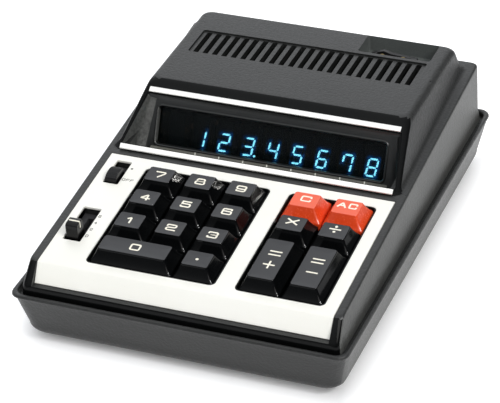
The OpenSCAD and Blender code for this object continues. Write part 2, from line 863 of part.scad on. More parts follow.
module key_board() {
    left = well_left(number_x, number_cols);
    right = well_right(operator_x, operator_cols);
    color(board_tint) on_deck()
        box(left, right, frame_s0 + key_board_front, frame_s1 - key_board_rear, board_n - board_t, board_n);
}

// A key's form, cut from two crossed outlines: straight skirt up to the bend, sloping sides from there to the top
module cap_form(w, d, draft, z0, z1) {
    intersection() {
        rotate([90, 0, 0]) translate([0, 0, -d]) linear_extrude(2 * d) polygon(cap_side(w / 2, draft / 2, z0, z1));
        prism_x(w, cap_side(d / 2, draft / 2, z0, z1));
    }
}

function cap_side(half, inset, z0, z1) = [
    [-half, z0], [half, z0], [half, -key_bend], [half - inset, z1], [-half + inset, z1], [-half, -key_bend]
];

module key_cap(k) {
    w = (k[3] - 1) * key_px + skirt_w;
    d = (k[4] - 1) * key_py + skirt_d;
    draft = 2 * key_draft;
    thin = 2 * cap_wall;
    on_deck() translate([k[1], k[2], 0]) {
        difference() {
            cap_form(w, d, draft, -key_sink, key_rise);
            cap_form(w - thin, d - thin, draft, -key_sink - EPS, key_rise - cap_wall);
        }
        pin(0, 0, stem_end_n, key_rise - cap_wall + EPS, stem_d);
    }
}

module key_named(name, tint) {
    for (k = KEYS) if (k[0] == name) color(tint) key_cap(k);
}

// Slide switches
module switch_slide_body(s, length, travel, blade_len, rest) {
    half = length / 2 + slide_body_over;
    slit = travel + blade_len + 2 * slide_fit;
    slit_s = rest - blade_len / 2 - slide_fit;
    color("#1d1e1f") on_deck() translate([slide_x, 0, 0]) difference() {
        box(-slide_body_w / 2, slide_body_w / 2, s - half, s + half, frame_n, slide_body_top_n);
        box(-slit_w / 2, slit_w / 2, slit_s, slit_s + slit, frame_n - 1, slide_body_top_n + 1);
    }
}

module power_switch_body() {
    switch_slide_body(power_s, power_slot_len, power_travel, power_blade, power_rest_s);
}

module decimal_switch_body() {
    switch_slide_body(decimal_s, decimal_slot_len, decimal_travel, decimal_blade, decimal_rest_s);
}

module knob_blade(length) {
    box(-knob_blade_t / 2, knob_blade_t / 2, -length / 2, length / 2,
        slide_body_top_n - knob_blade_h, slide_body_top_n + slide_fit + EPS);
}

// Low ribbed thumb slide
module power_slider() {
    half = power_slot_w / 2 - slide_fit;
    base = slide_body_top_n + slide_fit;
    rib = power_knob_len / power_ribs;
    rib_n = power_knob_rise - power_rib_h;
    color(knob_tint) on_deck() translate([slide_x, power_rest_s, 0]) {
        box(-half, half, -power_knob_len / 2, power_knob_len / 2, base, rib_n);
        for (i = [0 : power_ribs - 1])
            translate([0, -power_knob_len / 2 + i * rib, 0])
                box(-half, half, 0, power_rib_share * rib, rib_n - EPS, power_knob_rise);
        knob_blade(power_blade);
    }
}

// Tall finger tab on a flat sole
module decimal_slider() {
    half = decimal_slot_w / 2 - slide_fit;
    base = slide_body_top_n + slide_fit;
    sole = base + decimal_sole_t;
    long = decimal_knob_len / 2;
    edge = decimal_knob_rise - decimal_tab_edge;
    color(knob_tint) on_deck() translate([slide_x, decimal_rest_s, 0]) {
        box(-half, half, -long, long, base, sole);
        prism_x(decimal_tab_half_w, [
            [-long, sole - EPS], [long, sole - EPS], [long - decimal_tab_rear[0], edge],
            [long - decimal_tab_rear[1], decimal_knob_rise],
            [-long + decimal_tab_front[1], decimal_knob_rise], [-long + decimal_tab_front[0], edge]
        ]);
        knob_blade(decimal_blade);
    }
}

// Electronics
module main_board() {
    color(board_tint) difference() {
        box(-main_half_w, main_half_w, main_y0, main_y1, board_z, board_z + board_t);
        for (p = board_screws_at) pin(p[0], p[1], board_z - 1, board_z + 3, board_screw_d + 2 * screw_fit);
    }
}

module logic_chips() {
    x0 = chip_side - main_half_w;
    color("#202226") for (i = [0, 1], j = [0, 1])
        translate([
            x0 + i * (chip_size[0] + chip_gap[0]), main_y1 - chip_rear_in + j * (chip_size[1] + chip_gap[1]),
            board_z + board_t
        ]) cube(chip_size);
}

module capacitors() {
    z0 = board_z + board_t;
    color("#2f4f7f") for (side = [-1, 1], in = capacitor_in)
        pin(side * (main_half_w - in), main_y1 - capacitor_rear_in, z0, z0 + capacitor_h, capacitor_d);
}

module transformer_core() {
    x0 = core_at[0] - core_w / 2;
    y0 = core_at[1] - core_d / 2;
    z0 = floor_z + bracket_t;
    window_w = (core_w - 2 * core_yoke - core_leg) / 2;
    color("#6c6e70") difference() {
        translate([x0, y0, z0]) cube([core_w, core_d, core_h]);
        for (x = [x0 + core_yoke, x0 + core_w - core_yoke - window_w])
            translate([x, y0 - 1, z0 + core_yoke]) cube([window_w, core_d + 2, core_h - 2 * core_yoke]);
    }
}

module transformer_coil() {
    window_w = (core_w - 2 * core_yoke - core_leg) / 2;
    swell = window_w - 2 * coil_gap;
    outer_w = core_leg + 2 * coil_gap + 2 * swell;
    outer_d = core_d + 2 * coil_gap + 2 * swell;
    height = core_h - 2 * core_yoke - 2 * coil_gap;
    color("#b08a3a") translate([core_at[0], core_at[1], floor_z + bracket_t + core_yoke + coil_gap])
        linear_extrude(height) difference() {
            rounded_rect(outer_w, outer_d, coil_r);
            square([core_leg + 2 * coil_gap, core_d + 2 * coil_gap], center = true);
        }
}

// Base plate under the core with two ears, screwed to the floor
module transformer_bracket() {
    color("#a9abac") difference() {
        box(core_at[0] - core_w / 2 - bracket_ear, core_at[0] + core_w / 2 + bracket_ear,
            core_at[1] - core_d / 2, core_at[1] + core_d / 2, floor_z, floor_z + bracket_t);
        for (p = bracket_screws_at) pin(p[0], p[1], floor_z - 1, floor_z + 4, case_screw_d + 2 * screw_fit);
    }
}

module transformer_screws() {
    color(steel_tint) for (p = bracket_screws_at) {
        pin(p[0], p[1], floor_z + bracket_t, floor_z + bracket_t + board_head_h, screw_head_d);
        pin(p[0], p[1], floor_z - bracket_hold, floor_z + bracket_t + EPS, case_screw_d);
    }
}

module fuse_clips() {
    color("#b8a25a") for (y = [0, fuse_len - clip_t]) difference() {
        box(fuse_at[0] - clip_half_w, fuse_at[0] + clip_half_w, fuse_at[1] + y, fuse_at[1] + y + clip_t,
            floor_z, floor_z + clip_h);
        translate([fuse_at[0], fuse_at[1] + y - 1, fuse_z]) rotate([-90, 0, 0])
            cylinder(h = clip_t + 2, d = fuse_d + 2 * screw_fit);
    }
}

module fuse() {
    color("#d9dde0") translate([fuse_at[0], fuse_at[1] - fuse_over, fuse_z]) rotate([-90, 0, 0])
        cylinder(h = fuse_len + 2 * fuse_over, d = fuse_d);
}

// Recessed mains inlet under the hood's rear corner
module power_inlet() {
    well_w = inlet_block[0] - 2 * inlet_well_wall[0];
    well_d = inlet_block[1] - 2 * inlet_well_wall[1];
    color("#121313") translate([inlet_at[0], inlet_at[1], inlet_floor_z]) difference() {
        union() {
            falling_block(inlet_block);
            translate([inlet_block[0], 0, 0]) cube(inlet_shoulder);
        }
        translate([inlet_well_wall[0], inlet_well_wall[1], inlet_well_floor])
            cube([well_w, well_d, inlet_block[2]]);
        inlet_pin_pair(-1, inlet_block[2], pin_d + 2 * screw_fit);
    }
}

module inlet_pin_pair(z0, z1, d) {
    for (i = [-1, 1]) pin((inlet_block[0] + i * pin_pitch) / 2, inlet_block[1] / 2, z0, z1, d);
}

// A block whose top falls towards the back
module falling_block(size) {
    rotate([90, 0, 90]) linear_extrude(size[0]) polygon([
        [0, 0], [size[1], 0], [size[1], size[2] - inlet_fall[1]],
        [size[1] - inlet_fall[0], size[2]], [0, size[2]]
    ]);
}

module inlet_pins() {
    color("#c9b458") translate([inlet_at[0], inlet_at[1], inlet_floor_z])
        inlet_pin_pair(0, inlet_block[2] - pin_short, pin_d);
}

// Feet and fasteners
function feet_at() = [
    for (x = [-1, 1], y = [-1, 1]) [x * (body_w / 2 - foot_in[0]), y * (body_d / 2 - foot_in[1])]
];

module rubber_feet() {
    color("#1b1b1b") for (p = feet_at()) translate([p[0], p[1], 0]) {
        cylinder(h = foot_h, d1 = foot_d - foot_draft, d2 = foot_d);
        cylinder(h = foot_h + foot_seat, d = foot_d - foot_draft);
    }
}

module case_screws() {
    color(steel_tint) for (p = case_screws_at) {
        head_z = foot_h + screw_head_sink;
        pin(p[0], p[1], head_z - screw_head_h, head_z, screw_head_d);
        pin(p[0], p[1], head_z - EPS, boss_z + screw_reach, case_screw_d);
    }
}

module board_screws() {
    color(steel_tint) for (p = board_screws_at) {
        pin(p[0], p[1], board_z + board_t, board_z + board_t + board_head_h, board_head_d);
        pin(p[0], p[1], floor_z + 1, board_z + board_t + EPS, board_screw_d);
    }
}

module frame_screws() {
    color(steel_tint) on_deck() for (x = post_x, s = post_s) {
        pin(x, s, frame_low_n - frame_head_h, frame_low_n, frame_head_d);
        pin(x, s, frame_low_n - EPS, -deck_under - 1, board_screw_d);
    }
}

bottom_case();
top_case();
faceplate();
upper_trim_strip();
lower_trim_strip();
display_bezel();
display_window();
display_tubes();
display_board();
display_ribbon();
key_frame();
key_switches();
key_board();
main_board();
logic_chips();
capacitors();
power_switch_body();
power_slider();
decimal_switch_body();
decimal_slider();
transformer_core();
transformer_coil();
transformer_bracket();
transformer_screws();
fuse_clips();
fuse();
power_inlet();
inlet_pins();
rubber_feet();
case_screws();
board_screws();
frame_screws();
for (k = KEYS) {
    red = k[0] == "key_clear_entry" || k[0] == "key_all_clear";
    key_named(k[0], red ? key_red : key_black);
}
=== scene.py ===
# %% [markdown]
# # A desktop calculator, dressed over its solids
# The real machine is two black mouldings, a folded white face plate and seventeen key caps.
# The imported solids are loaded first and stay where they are; every piece below is laid over them
# in the same frame, so nothing needs fitting afterwards. Lengths are written in millimetres and
# turned into metres in one place, where a mesh is made.

# %% The frame
import json
import math
import bmesh
import bpy
import numpy as np
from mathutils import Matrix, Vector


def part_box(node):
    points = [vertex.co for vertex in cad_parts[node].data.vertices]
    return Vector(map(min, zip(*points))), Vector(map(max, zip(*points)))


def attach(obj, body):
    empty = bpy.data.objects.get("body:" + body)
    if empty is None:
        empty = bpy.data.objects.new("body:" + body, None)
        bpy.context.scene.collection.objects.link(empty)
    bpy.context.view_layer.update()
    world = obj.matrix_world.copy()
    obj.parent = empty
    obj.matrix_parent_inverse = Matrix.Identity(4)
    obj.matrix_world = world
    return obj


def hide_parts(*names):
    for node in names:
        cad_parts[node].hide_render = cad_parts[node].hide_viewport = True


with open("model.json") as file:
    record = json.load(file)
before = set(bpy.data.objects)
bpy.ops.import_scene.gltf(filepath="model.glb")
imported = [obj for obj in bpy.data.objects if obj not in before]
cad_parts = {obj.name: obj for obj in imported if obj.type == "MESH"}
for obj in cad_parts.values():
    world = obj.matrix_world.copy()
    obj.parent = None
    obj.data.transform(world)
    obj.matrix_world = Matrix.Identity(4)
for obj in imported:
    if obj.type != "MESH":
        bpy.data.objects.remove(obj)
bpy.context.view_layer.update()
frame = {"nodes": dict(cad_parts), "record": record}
MM = 0.001

# %% [markdown]
# ## Working planes
# The keyboard deck, the hood's sloping front and the display face are three tilted planes. A small
# class that turns (across, up the slope, out of it) into x, y, z keeps the numbers of each plane as
# they would stand on a drawing, which is easier to check than finished coordinates.

# %% Working planes


def box_mm(node):
    """Lowest and highest corner of a CAD node, in millimetres."""
    return [np.array(corner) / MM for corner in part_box(node)]


def unit(v):
    """A vector, or each of a stack of them, made one long."""
    return v / np.linalg.norm(v, axis=-1, keepdims=True)


class Plane:
    """A tilted plane through (0, y, z): x across, s up the slope, n out of it."""

    def __init__(self, y, z, slope):
        turn = math.radians(slope)
        self.origin = np.array([0.0, y, z])
        self.up = np.array([0.0, math.cos(turn), math.sin(turn)])
        self.out = np.array([0.0, -math.sin(turn), math.cos(turn)])

    def at(self, x, s, n):
        """Origin plus x across, s up and n out, for numbers or arrays."""
        x, s, n = np.broadcast_arrays(*(np.asarray(v, float) for v in (x, s, n)))
        across = np.stack([x, np.zeros_like(x), np.zeros_like(x)], -1)
        return self.origin + across + s[..., None] * self.up + n[..., None] * self.out

    def up_of(self, point):
        """How far up the slope a point lies."""
        return float((point - self.origin) @ self.up)


TRAY_LOW, TRAY_HIGH = box_mm("bottom_case")
RIM_X, RIM_Y, RIM_Z = TRAY_HIGH
FOOT_H = TRAY_LOW[2]
DECK_SLOPE, FRONT_SLOPE, FACE_LEAN = 4.6, 32.6, 24.5
BEND_Y, BEND_Z = -RIM_Y + 12.1, 36.7
HOOD_Z = box_mm("top_case")[1][2]
FRONT_S = 83.4
TABLE = Plane(0, 0, 0)
DECK = Plane(BEND_Y, BEND_Z, DECK_SLOPE)
FRONT = Plane(*DECK.at(0, FRONT_S, 0)[1:], FRONT_SLOPE)
FRONT_LEN = (HOOD_Z - FRONT.origin[2]) / math.sin(math.radians(FRONT_SLOPE))
MOUTH_LOW, MOUTH_HIGH = 2.4, FRONT_LEN - 7.4
MOUTH_HALF, MOUTH_TOP_HALF = 64.9, 60.3
FACE_SHARE, FACE_DROP = 0.884, 0.8
FACE_H = MOUTH_HIGH * FACE_SHARE
FACE_FOOT = FRONT.at(0, MOUTH_HIGH, 0) - FACE_H * np.array(
    [0, math.sin(math.radians(FACE_LEAN)), math.cos(math.radians(FACE_LEAN))]) - [0, 0, FACE_DROP]
FACE = Plane(*FACE_FOOT[1:], 90 - FACE_LEAN)
print("hood front is", round(FRONT_LEN, 2), "mm long; display face is", round(FACE_H, 2), "mm high")

# %% [markdown]
# ## Camera
# The camera stands where the photograph's perspective puts it: right of the middle, a third of a
# right angle above the table, rolled by under three degrees. Its axes are written as a matrix,
# because a roll is awkward to give in Euler angles.

# %% Camera
EYE = np.array([0.3616, -0.88026, 0.63921])
AZIMUTH, ELEVATION, ROLL = np.radians([22.645, 32.901, -2.778])
LENS, SENSOR = 182.94, 36


def stand(obj, right, top, back, at=(0, 0, 0)):
    """Links an object to the scene; its axes and its place are the columns of its matrix."""
    pose = np.eye(4)
    pose[:3] = np.column_stack([right, top, back, at])
    bpy.context.scene.collection.objects.link(obj)
    obj.matrix_world = pose.T.tolist()


back = np.array([math.sin(AZIMUTH) * math.cos(ELEVATION), -math.cos(AZIMUTH) * math.cos(ELEVATION),
                 math.sin(ELEVATION)])
level = np.array([math.cos(AZIMUTH), math.sin(AZIMUTH), 0])
rise = np.cross(back, level)
camera_data = bpy.data.cameras.new("photo_camera")
camera_data.lens = LENS
camera_data.sensor_width = SENSOR
camera_data.sensor_fit = "HORIZONTAL"
camera = bpy.data.objects.new("photo_camera", camera_data)
stand(camera, math.cos(ROLL) * level + math.sin(ROLL) * rise, math.cos(ROLL) * rise - math.sin(ROLL) * level, back, EYE)
bpy.context.scene.camera = camera
print("camera stands", round(float(np.linalg.norm(EYE)), 3), "m from the middle")

# %% [markdown]
# ## Shader maths
# A finish is a node tree, but a tree written node by node hides the arithmetic. `Value` wraps one
# socket and overloads the operators, so `0.3 + 0.2 * grain` adds the Math nodes by itself. Every
# other node comes from one method that takes its type, its settings and its sockets.

# %% Shader maths


def operator(operation, swapped=False):
    """A method that writes a Math node for an operator, with its two sides swapped for a number on the left."""
    def method(self, other):
        return self.maths(operation, *((other, self) if swapped else (self, other)))
    return method


class Value:
    """One output socket of a finish, usable in Python arithmetic."""

    __add__, __radd__ = operator("ADD"), operator("ADD", True)
    __sub__, __rsub__ = operator("SUBTRACT"), operator("SUBTRACT", True)
    __mul__, __rmul__ = operator("MULTIPLY"), operator("MULTIPLY", True)
    __pow__ = operator("POWER")

    def __init__(self, finish, socket):
        self.finish = finish
        self.socket = socket

    def maths(self, operation, first, second):
        """A Math node on two values, or on a value and a number."""
        return self.finish.node("ShaderNodeMath", {"operation": operation}, {0: first, 1: second})

    def out(self, name):
        """Another output of the same node."""
        return Value(self.finish, self.socket.node.outputs[name])


class Finish:
    """A node tree under construction: a material's, or the surrounding's."""

    def __init__(self, name, owners=bpy.data.materials, shader="Principled BSDF"):
        self.material = owners.new(name)
        self.material.use_nodes = True
        self.tree = self.material.node_tree
        self.shader = self.tree.nodes[shader]

    def node(self, kind, settings=None, sockets=None, out=0):
        """Adds a node, makes its settings, fills its sockets and returns one output."""
        node = self.tree.nodes.new(kind)
        for key, value in (settings or {}).items():
            if key == "stops":
                for element, (place, colour) in zip(node.color_ramp.elements, value):
                    element.position = place
                    element.color = colour
            else:
                setattr(node, key, value)
        self.fill(node, sockets or {})
        return Value(self, node.outputs[out])

    def fill(self, node, sockets):
        """Links values to a node's sockets and writes plain numbers and colours on them."""
        for key, value in sockets.items():
            if isinstance(value, Value):
                self.tree.links.new(value.socket, node.inputs[key])
            else:
                node.inputs[key].default_value = value

    def surface(self, **sockets):
        """Fills the surface shader; Base_Color stands for its socket Base Color."""
        self.fill(self.shader, {key.replace("_", " "): value for key, value in sockets.items()})
        return self.material

    def coords(self):
        """The object's own coordinates, in metres."""
        return self.node("ShaderNodeTexCoord", out="Object")

    def noise(self, vector, scale, detail=2.0, rough=0.5):
        """A noise with scale features to the metre."""
        return self.node("ShaderNodeTexNoise", {}, {"Vector": vector, "Scale": scale, "Detail": detail,
                                                    "Roughness": rough})

    def blend(self, factor, first, second):
        """A colour that turns from the first to the second as factor goes from 0 to 1."""
        return self.node("ShaderNodeMix", {"data_type": "RGBA"}, {0: factor, 6: first, 7: second}, out=2)

    def bump(self, height, strength, distance):
        """Normals tilted by a height, of which a value of 1 is distance high."""
        return self.node("ShaderNodeBump", {}, {"Height": height, "Strength": strength,
                                                "Distance": distance})


def ink(red, green, blue):
    """A colour given as on a screen, 0 to 255, in the shader's linear light."""
    c = np.array([red, green, blue]) / 255
    linear = np.where(c <= 0.04045, c / 12.92, ((c + 0.055) / 1.055) ** 2.4)
    return (*(float(v) for v in linear), 1.0)


print("shader tools ready")

# %% [markdown]
# ## Moulded and painted finishes
# Nearly everything here is a moulded or painted surface, and those differ in the same few numbers:
# colour, how far it mottles, gloss, and the depth and size of the grain the tool left. One recipe
# with those numbers is easier to tune against a photograph than a dozen separate trees.

# %% Moulded and painted finishes
BROAD_SHARE, FINE_SHARE, TONE_SHIFT, GRAIN_STRENGTH = 0.4, 1.1, 0.25, 0.35


def moulded(name, dark, light, gloss, gloss_spread, grain, grain_depth, mottle=45.0, **fixed):
    """Colour drifts between dark and light with a broad noise and specks of the fine one; roughness is gloss
    plus its spread times the fine noise; the fine noise is also the bump."""
    f = Finish(name)
    place = f.coords()
    fine = f.noise(place, grain, 3.0, 0.6)
    broad = f.noise(place, mottle, 4.0, 0.55)
    tone = BROAD_SHARE * broad + FINE_SHARE * fine - TONE_SHIFT
    return f.surface(Base_Color=f.blend(tone, dark, light), Roughness=gloss + gloss_spread * fine,
                     Normal=f.bump(fine, GRAIN_STRENGTH, grain_depth * MM), **fixed)


MOULDED = {
    "case_plastic": ((1, 2, 2), (44, 45, 44), 0.14, 0.50, 800, 0.80),
    "front_gloss": ((6, 7, 7), (12, 13, 13), 0.10, 0.10, 900, 0.01, 60),
    # The row below is painted light: the bezel's lower bar made lighter for the light that falls on it.
    "sill_grey": ((98, 98, 92), (122, 122, 114), 0.32, 0.16, 2200, 0.02),
    "bezel_plastic": ((18, 20, 20), (30, 32, 32), 0.24, 0.16, 2400, 0.03),
    "key_black": ((5, 6, 7), (10, 11, 12), 0.06, 0.08, 900, 0.012, 120),
    "key_black_top": ((30, 31, 34), (44, 45, 48), 0.36, 0.18, 3200, 0.03),
    "key_red": ((224, 62, 22), (238, 80, 32), 0.20, 0.12, 900, 0.012, 120),
    "key_red_top": ((236, 90, 58), (246, 108, 74), 0.36, 0.16, 3200, 0.03),
    "legend": ((244, 238, 218), (253, 249, 234), 0.35, 0.15, 1800, 0.01, 300),
    "knob_plastic": ((5, 5, 6), (11, 11, 12), 0.10, 0.10, 1800, 0.02),
    "mark": ((96, 95, 92), (132, 130, 125), 0.45, 0.15, 2200, 0.01, 400),
    # The row below is the case plastic made lighter: painted light on faces that turn to the side, where the light from
    # the right falls.
    "cheek_grain": ((36, 37, 37), (104, 105, 102), 0.14, 0.52, 800, 0.80),
    # The row below is painted light: a lighter grey for the light that the inlet pocket catches.
    "pocket_grey": ((74, 78, 77), (98, 102, 100), 0.38, 0.18, 1700, 0.06),
    "tick_paint": ((214, 216, 206), (236, 238, 228), 0.45, 0.15, 2200, 0.01, 400),
    "switch_plastic": ((60, 60, 58), (84, 84, 81), 0.40, 0.2, 1500, 0.03),
    "rubber": ((24, 24, 24), (44, 43, 42), 0.70, 0.2, 1400, 0.12, 90),
    "chip_plastic": ((28, 28, 30), (46, 46, 48), 0.55, 0.2, 1600, 0.04),
    "capacitor_sleeve": ((34, 62, 110), (54, 88, 142), 0.25, 0.15, 700, 0.02),
    "ribbon_plastic": ((150, 147, 138), (182, 178, 168), 0.4, 0.15, 500, 0.03),
    "coil_tape": ((166, 128, 48), (206, 168, 82), 0.3, 0.2, 420, 0.06),
    "inlet_black": ((14, 14, 15), (26, 26, 27), 0.30, 0.2, 1500, 0.03),
    "frame_steel": ((96, 98, 100), (138, 140, 142), 0.30, 0.25, 700, 0.02),
    "core_steel": ((92, 90, 88), (134, 130, 126), 0.42, 0.25, 900, 0.05),
    "screw_steel": ((150, 151, 152), (188, 189, 190), 0.24, 0.22, 900, 0.02),
    "brass": ((92, 78, 42), (128, 110, 64), 0.30, 0.22, 800, 0.02),
    "dark_phosphor": ((16, 24, 26), (24, 34, 37), 0.6, 0.1, 2000, 0.01),
}
FIXED = {"front_gloss": {"Specular_IOR_Level": 0.14}, "key_black": {"Specular_IOR_Level": 0.13},
         "knob_plastic": {"Specular_IOR_Level": 0.25}, "smoked_filter": {"Specular_IOR_Level": 0.12},
         "frame_steel": {"Metallic": 1.0}, "core_steel": {"Metallic": 0.9}, "screw_steel": {"Metallic": 1.0},
         "brass": {"Metallic": 1.0}}


def finishes(recipe, table):
    """A finish for each row of a table: its two colours, then the recipe's numbers."""
    return {name: recipe(name, ink(*one), ink(*two), *rest, **FIXED.get(name, {}))
            for name, (one, two, *rest) in table.items()}


FINISH = finishes(moulded, MOULDED)
print(len(FINISH), "moulded and painted finishes")

# %% [markdown]
# ## Enamel, chrome, boards and glass
# The face plate is stoved enamel: very pale, a little yellowed in clouds, with orange peel a
# millimetre across. The strips are polished metal with faint drawing lines along them, which a
# noise squeezed along x gives. Boards show copper tracks under lacquer. The window is smoked
# acrylic: nearly black, with enough let through for the tubes to show.

# %% Enamel, chrome, boards and glass


def enamel():
    """Clouds of ivory over white, tiny specks, orange peel as bump."""
    f = Finish("face_enamel")
    place = f.coords()
    clouds = f.noise(place, 26, 3.0)
    peel = f.noise(place, 850, 2.0)
    specks = f.node("ShaderNodeValToRGB", {"stops": [(0.70, (0, 0, 0, 1)), (0.80, (1, 1, 1, 1))]},
                    {"Fac": f.noise(place, 1900, 1.0)})
    paint = f.blend(clouds, ink(243, 242, 232), ink(251, 250, 244))
    return f.surface(Base_Color=f.blend(0.12 * specks, paint, ink(176, 166, 140)),
                     Roughness=0.26 + 0.16 * peel, Normal=f.bump(peel, 0.25, 0.03 * MM))


def chrome():
    """Drawing lines along x: noise squeezed to a fiftieth along the strip, in the gloss alone."""
    f = Finish("chrome_trim")
    drawn = f.node("ShaderNodeMapping", {}, {"Vector": f.coords(), "Scale": (0.02, 1, 1)})
    lines = f.noise(drawn, 2600, 2.0)
    clouds = f.noise(drawn, 300, 2.0)
    return f.surface(Base_Color=f.blend(clouds, ink(250, 248, 242), ink(255, 254, 250)), Metallic=1.0,
                     Roughness=0.10 + 0.12 * lines)


def board():
    """Copper tracks: the middles of square-cornered cells, under a yellow-brown lacquer."""
    f = Finish("circuit_board")
    place = f.coords()
    cells = f.node("ShaderNodeTexVoronoi", {"distance": "MANHATTAN", "feature": "F1"},
                   {"Vector": place, "Scale": 160})
    tracks = f.node("ShaderNodeValToRGB", {"stops": [(0.30, (1, 1, 1, 1)), (0.36, (0, 0, 0, 1))]},
                    {"Fac": cells})
    grain = f.noise(place, 900, 3.0)
    resin = f.blend(grain, ink(104, 84, 42), ink(134, 112, 62))
    return f.surface(Base_Color=f.blend(tracks, resin, ink(196, 150, 88)), Roughness=0.3 + 0.2 * grain,
                     Normal=f.bump(cells, 0.1, 0.05 * MM))


def pane(name, dark, light, gloss, alpha, **fixed):
    """A see-through sheet: a tint that clouds slightly, mostly clear or mostly dark by its alpha."""
    f = Finish(name)
    place = f.coords()
    haze = f.noise(place, 120, 3.0)
    return f.surface(Base_Color=f.blend(haze, dark, light), Roughness=gloss + 0.06 * haze,
                     Alpha=alpha + 0.06 * haze, **fixed)


def glow(name, core, edge, power):
    """Phosphor: brightest in specks of a fine noise, a shade deeper between them."""
    f = Finish(name)
    specks = f.noise(f.coords(), 2600, 2.0)
    return f.surface(Base_Color=f.blend(specks, edge, core), Roughness=0.6 + 0.1 * specks,
                     Emission_Color=f.blend(specks, edge, core), Emission_Strength=power)


def lit_plate():
    """A near-black plate on which the light of the bars falls: the halo attribute turns to a deep blue glow."""
    f = Finish("tube_plate")
    grain = f.noise(f.coords(), 1500, 3.0)
    halo = f.node("ShaderNodeAttribute", {"attribute_name": "halo"}, out="Fac")
    return f.surface(Base_Color=f.blend(grain, ink(4, 5, 6), ink(9, 10, 11)), Roughness=0.5 + 0.2 * grain,
                     Emission_Color=f.blend(halo, (0, 0, 0, 1), ink(0, 96, 176)), Emission_Strength=1.6)


FINISH |= {"face_enamel": enamel(), "chrome_trim": chrome(), "circuit_board": board(), "tube_plate": lit_plate()}
FINISH |= finishes(pane, {"smoked_filter": ((2, 5, 6), (5, 10, 12), 0.08, 0.60),
                          "tube_glass": ((150, 178, 172), (190, 208, 204), 0.04, 0.06),
                          "fuse_glass": ((196, 204, 208), (226, 232, 234), 0.04, 0.35)})
FINISH |= finishes(glow, {"phosphor": ((168, 244, 255), (70, 208, 250), 9.0)})
for part in frame["record"]["subparts"]:
    node = frame["nodes"][part["node"]]
    node.data.materials.clear()
    node.data.materials.append(FINISH[part["material_slot"]])
print(len(FINISH), "finishes; every CAD node carries its own")

# %% [markdown]
# ## From arrays to pieces
# A shape below is an array of points on a grid: rings of points, one after the other. These few
# functions join neighbours with faces, cap the ends and hand the result to Blender. Normals are
# worked out from the closed shell, so the order in which a ring was written doesn't matter.

# %% From arrays to pieces


def grid_faces(rows, cols, close=False):
    """Quads between neighbouring points of a grid whose columns run round; close joins last row to first."""
    r = np.arange(rows if close else rows - 1)[:, None]
    c = np.arange(cols)[None]
    near, far = r * cols, (r + 1) % rows * cols
    ahead = (c + 1) % cols
    return np.stack([near + c, near + ahead, far + ahead, far + c], -1).reshape(-1, 4).tolist()


def loft(rings, close=False):
    """Points and faces of a skin through rings; open ends get a flat cap."""
    rings = np.asarray(rings, float)
    rows, cols = rings.shape[:2]
    faces = grid_faces(rows, cols, close)
    if not close:
        faces += [list(range(cols))[::-1], list(range((rows - 1) * cols, rows * cols))]
    return rings.reshape(-1, 3), faces


def gather(parts):
    """Several closed skins as one mesh: points stacked, face numbers moved up by the points before them."""
    points, faces, start = [], [], 0
    for p, f in parts:
        points.append(p)
        faces += [[i + start for i in face] for face in f]
        start += len(p)
    return np.concatenate(points), faces


def rounded(x0, x1, y0, y1, r, steps=6):
    """Outline of a rectangle whose corners are quarter circles of radius r, anticlockwise, as (n, 2)."""
    turn = np.radians(np.linspace(0, 90, steps + 1))
    cx, cy = np.array([x1 - r, x0 + r, x0 + r, x1 - r]), np.array([y1 - r, y1 - r, y0 + r, y0 + r])
    angle = turn + np.radians([0, 90, 180, 270])[:, None]
    return np.stack([cx[:, None] + r * np.cos(angle), cy[:, None] + r * np.sin(angle)], -1).reshape(-1, 2)


def laid(outline, plane, n):
    """The points of an outline on a plane, n out of it."""
    return plane.at(*np.asarray(outline, float).T, n)


def prism(outline, plane, n0, n1):
    """An outline on a plane, drawn out from n0 to n1."""
    return loft([laid(outline, plane, n) for n in (n0, n1)])


def across(profile, half_w, plane):
    """A profile in (s, n), drawn out across x."""
    return loft([plane.at(x, *np.asarray(profile, float).T) for x in (-half_w, half_w)])


def lathe(profile, centre, axis_plane, steps=40):
    """A profile in (radius, height) turned about the plane's normal through centre."""
    r, h = np.asarray(profile, float).T
    a = np.linspace(0, 2 * np.pi, steps, endpoint=False)
    x, s = centre
    return loft(axis_plane.at(x + r[:, None] * np.cos(a), s + r[:, None] * np.sin(a), h[:, None]))


print("mesh tools ready")

# %% Making, cutting and softening


def make(name, skin, *finishes, body="case", slot=None, replaces=(), smooth=32):
    """A mesh object from points in mm and faces, riding on a body."""
    points, faces = skin
    mesh = bpy.data.meshes.new(name)
    mesh.from_pydata((np.asarray(points) * MM).tolist(), [], faces)
    obj = bpy.data.objects.new(name, mesh)
    bpy.context.scene.collection.objects.link(obj)
    for finish in finishes:
        mesh.materials.append(FINISH[finish])
    outward(mesh)
    shade(mesh, smooth)
    if finishes:
        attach(obj, body)
        if replaces:
            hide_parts(*replaces)
    return obj


def outward(mesh):
    """Faces of a closed shell turned to point out."""
    work = bmesh.new()
    work.from_mesh(mesh)
    bmesh.ops.recalc_face_normals(work, faces=work.faces)
    work.to_mesh(mesh)
    work.free()


def shade(mesh, angle):
    """Smooth shading that breaks at edges sharper than angle."""
    mesh.polygons.foreach_set("use_smooth", np.ones(len(mesh.polygons), bool))
    mesh.set_sharp_from_angle(angle=math.radians(angle))
    mesh.update()


def carve(obj, *skins, smooth=32):
    """Takes closed skins away from a piece and keeps the result as its mesh."""
    tools = [make(f"{obj.name}_tool", skin) for skin in skins]
    for tool in tools:
        cut = obj.modifiers.new("cut", "BOOLEAN")
        cut.operation = "DIFFERENCE"
        cut.solver = "EXACT"
        cut.object = tool
    graph = bpy.context.evaluated_depsgraph_get()
    mesh = bpy.data.meshes.new_from_object(obj.evaluated_get(graph))
    obj.modifiers.clear()
    obj.data = mesh
    for tool in tools:
        bpy.data.objects.remove(tool)
    shade(mesh, smooth)
    return obj


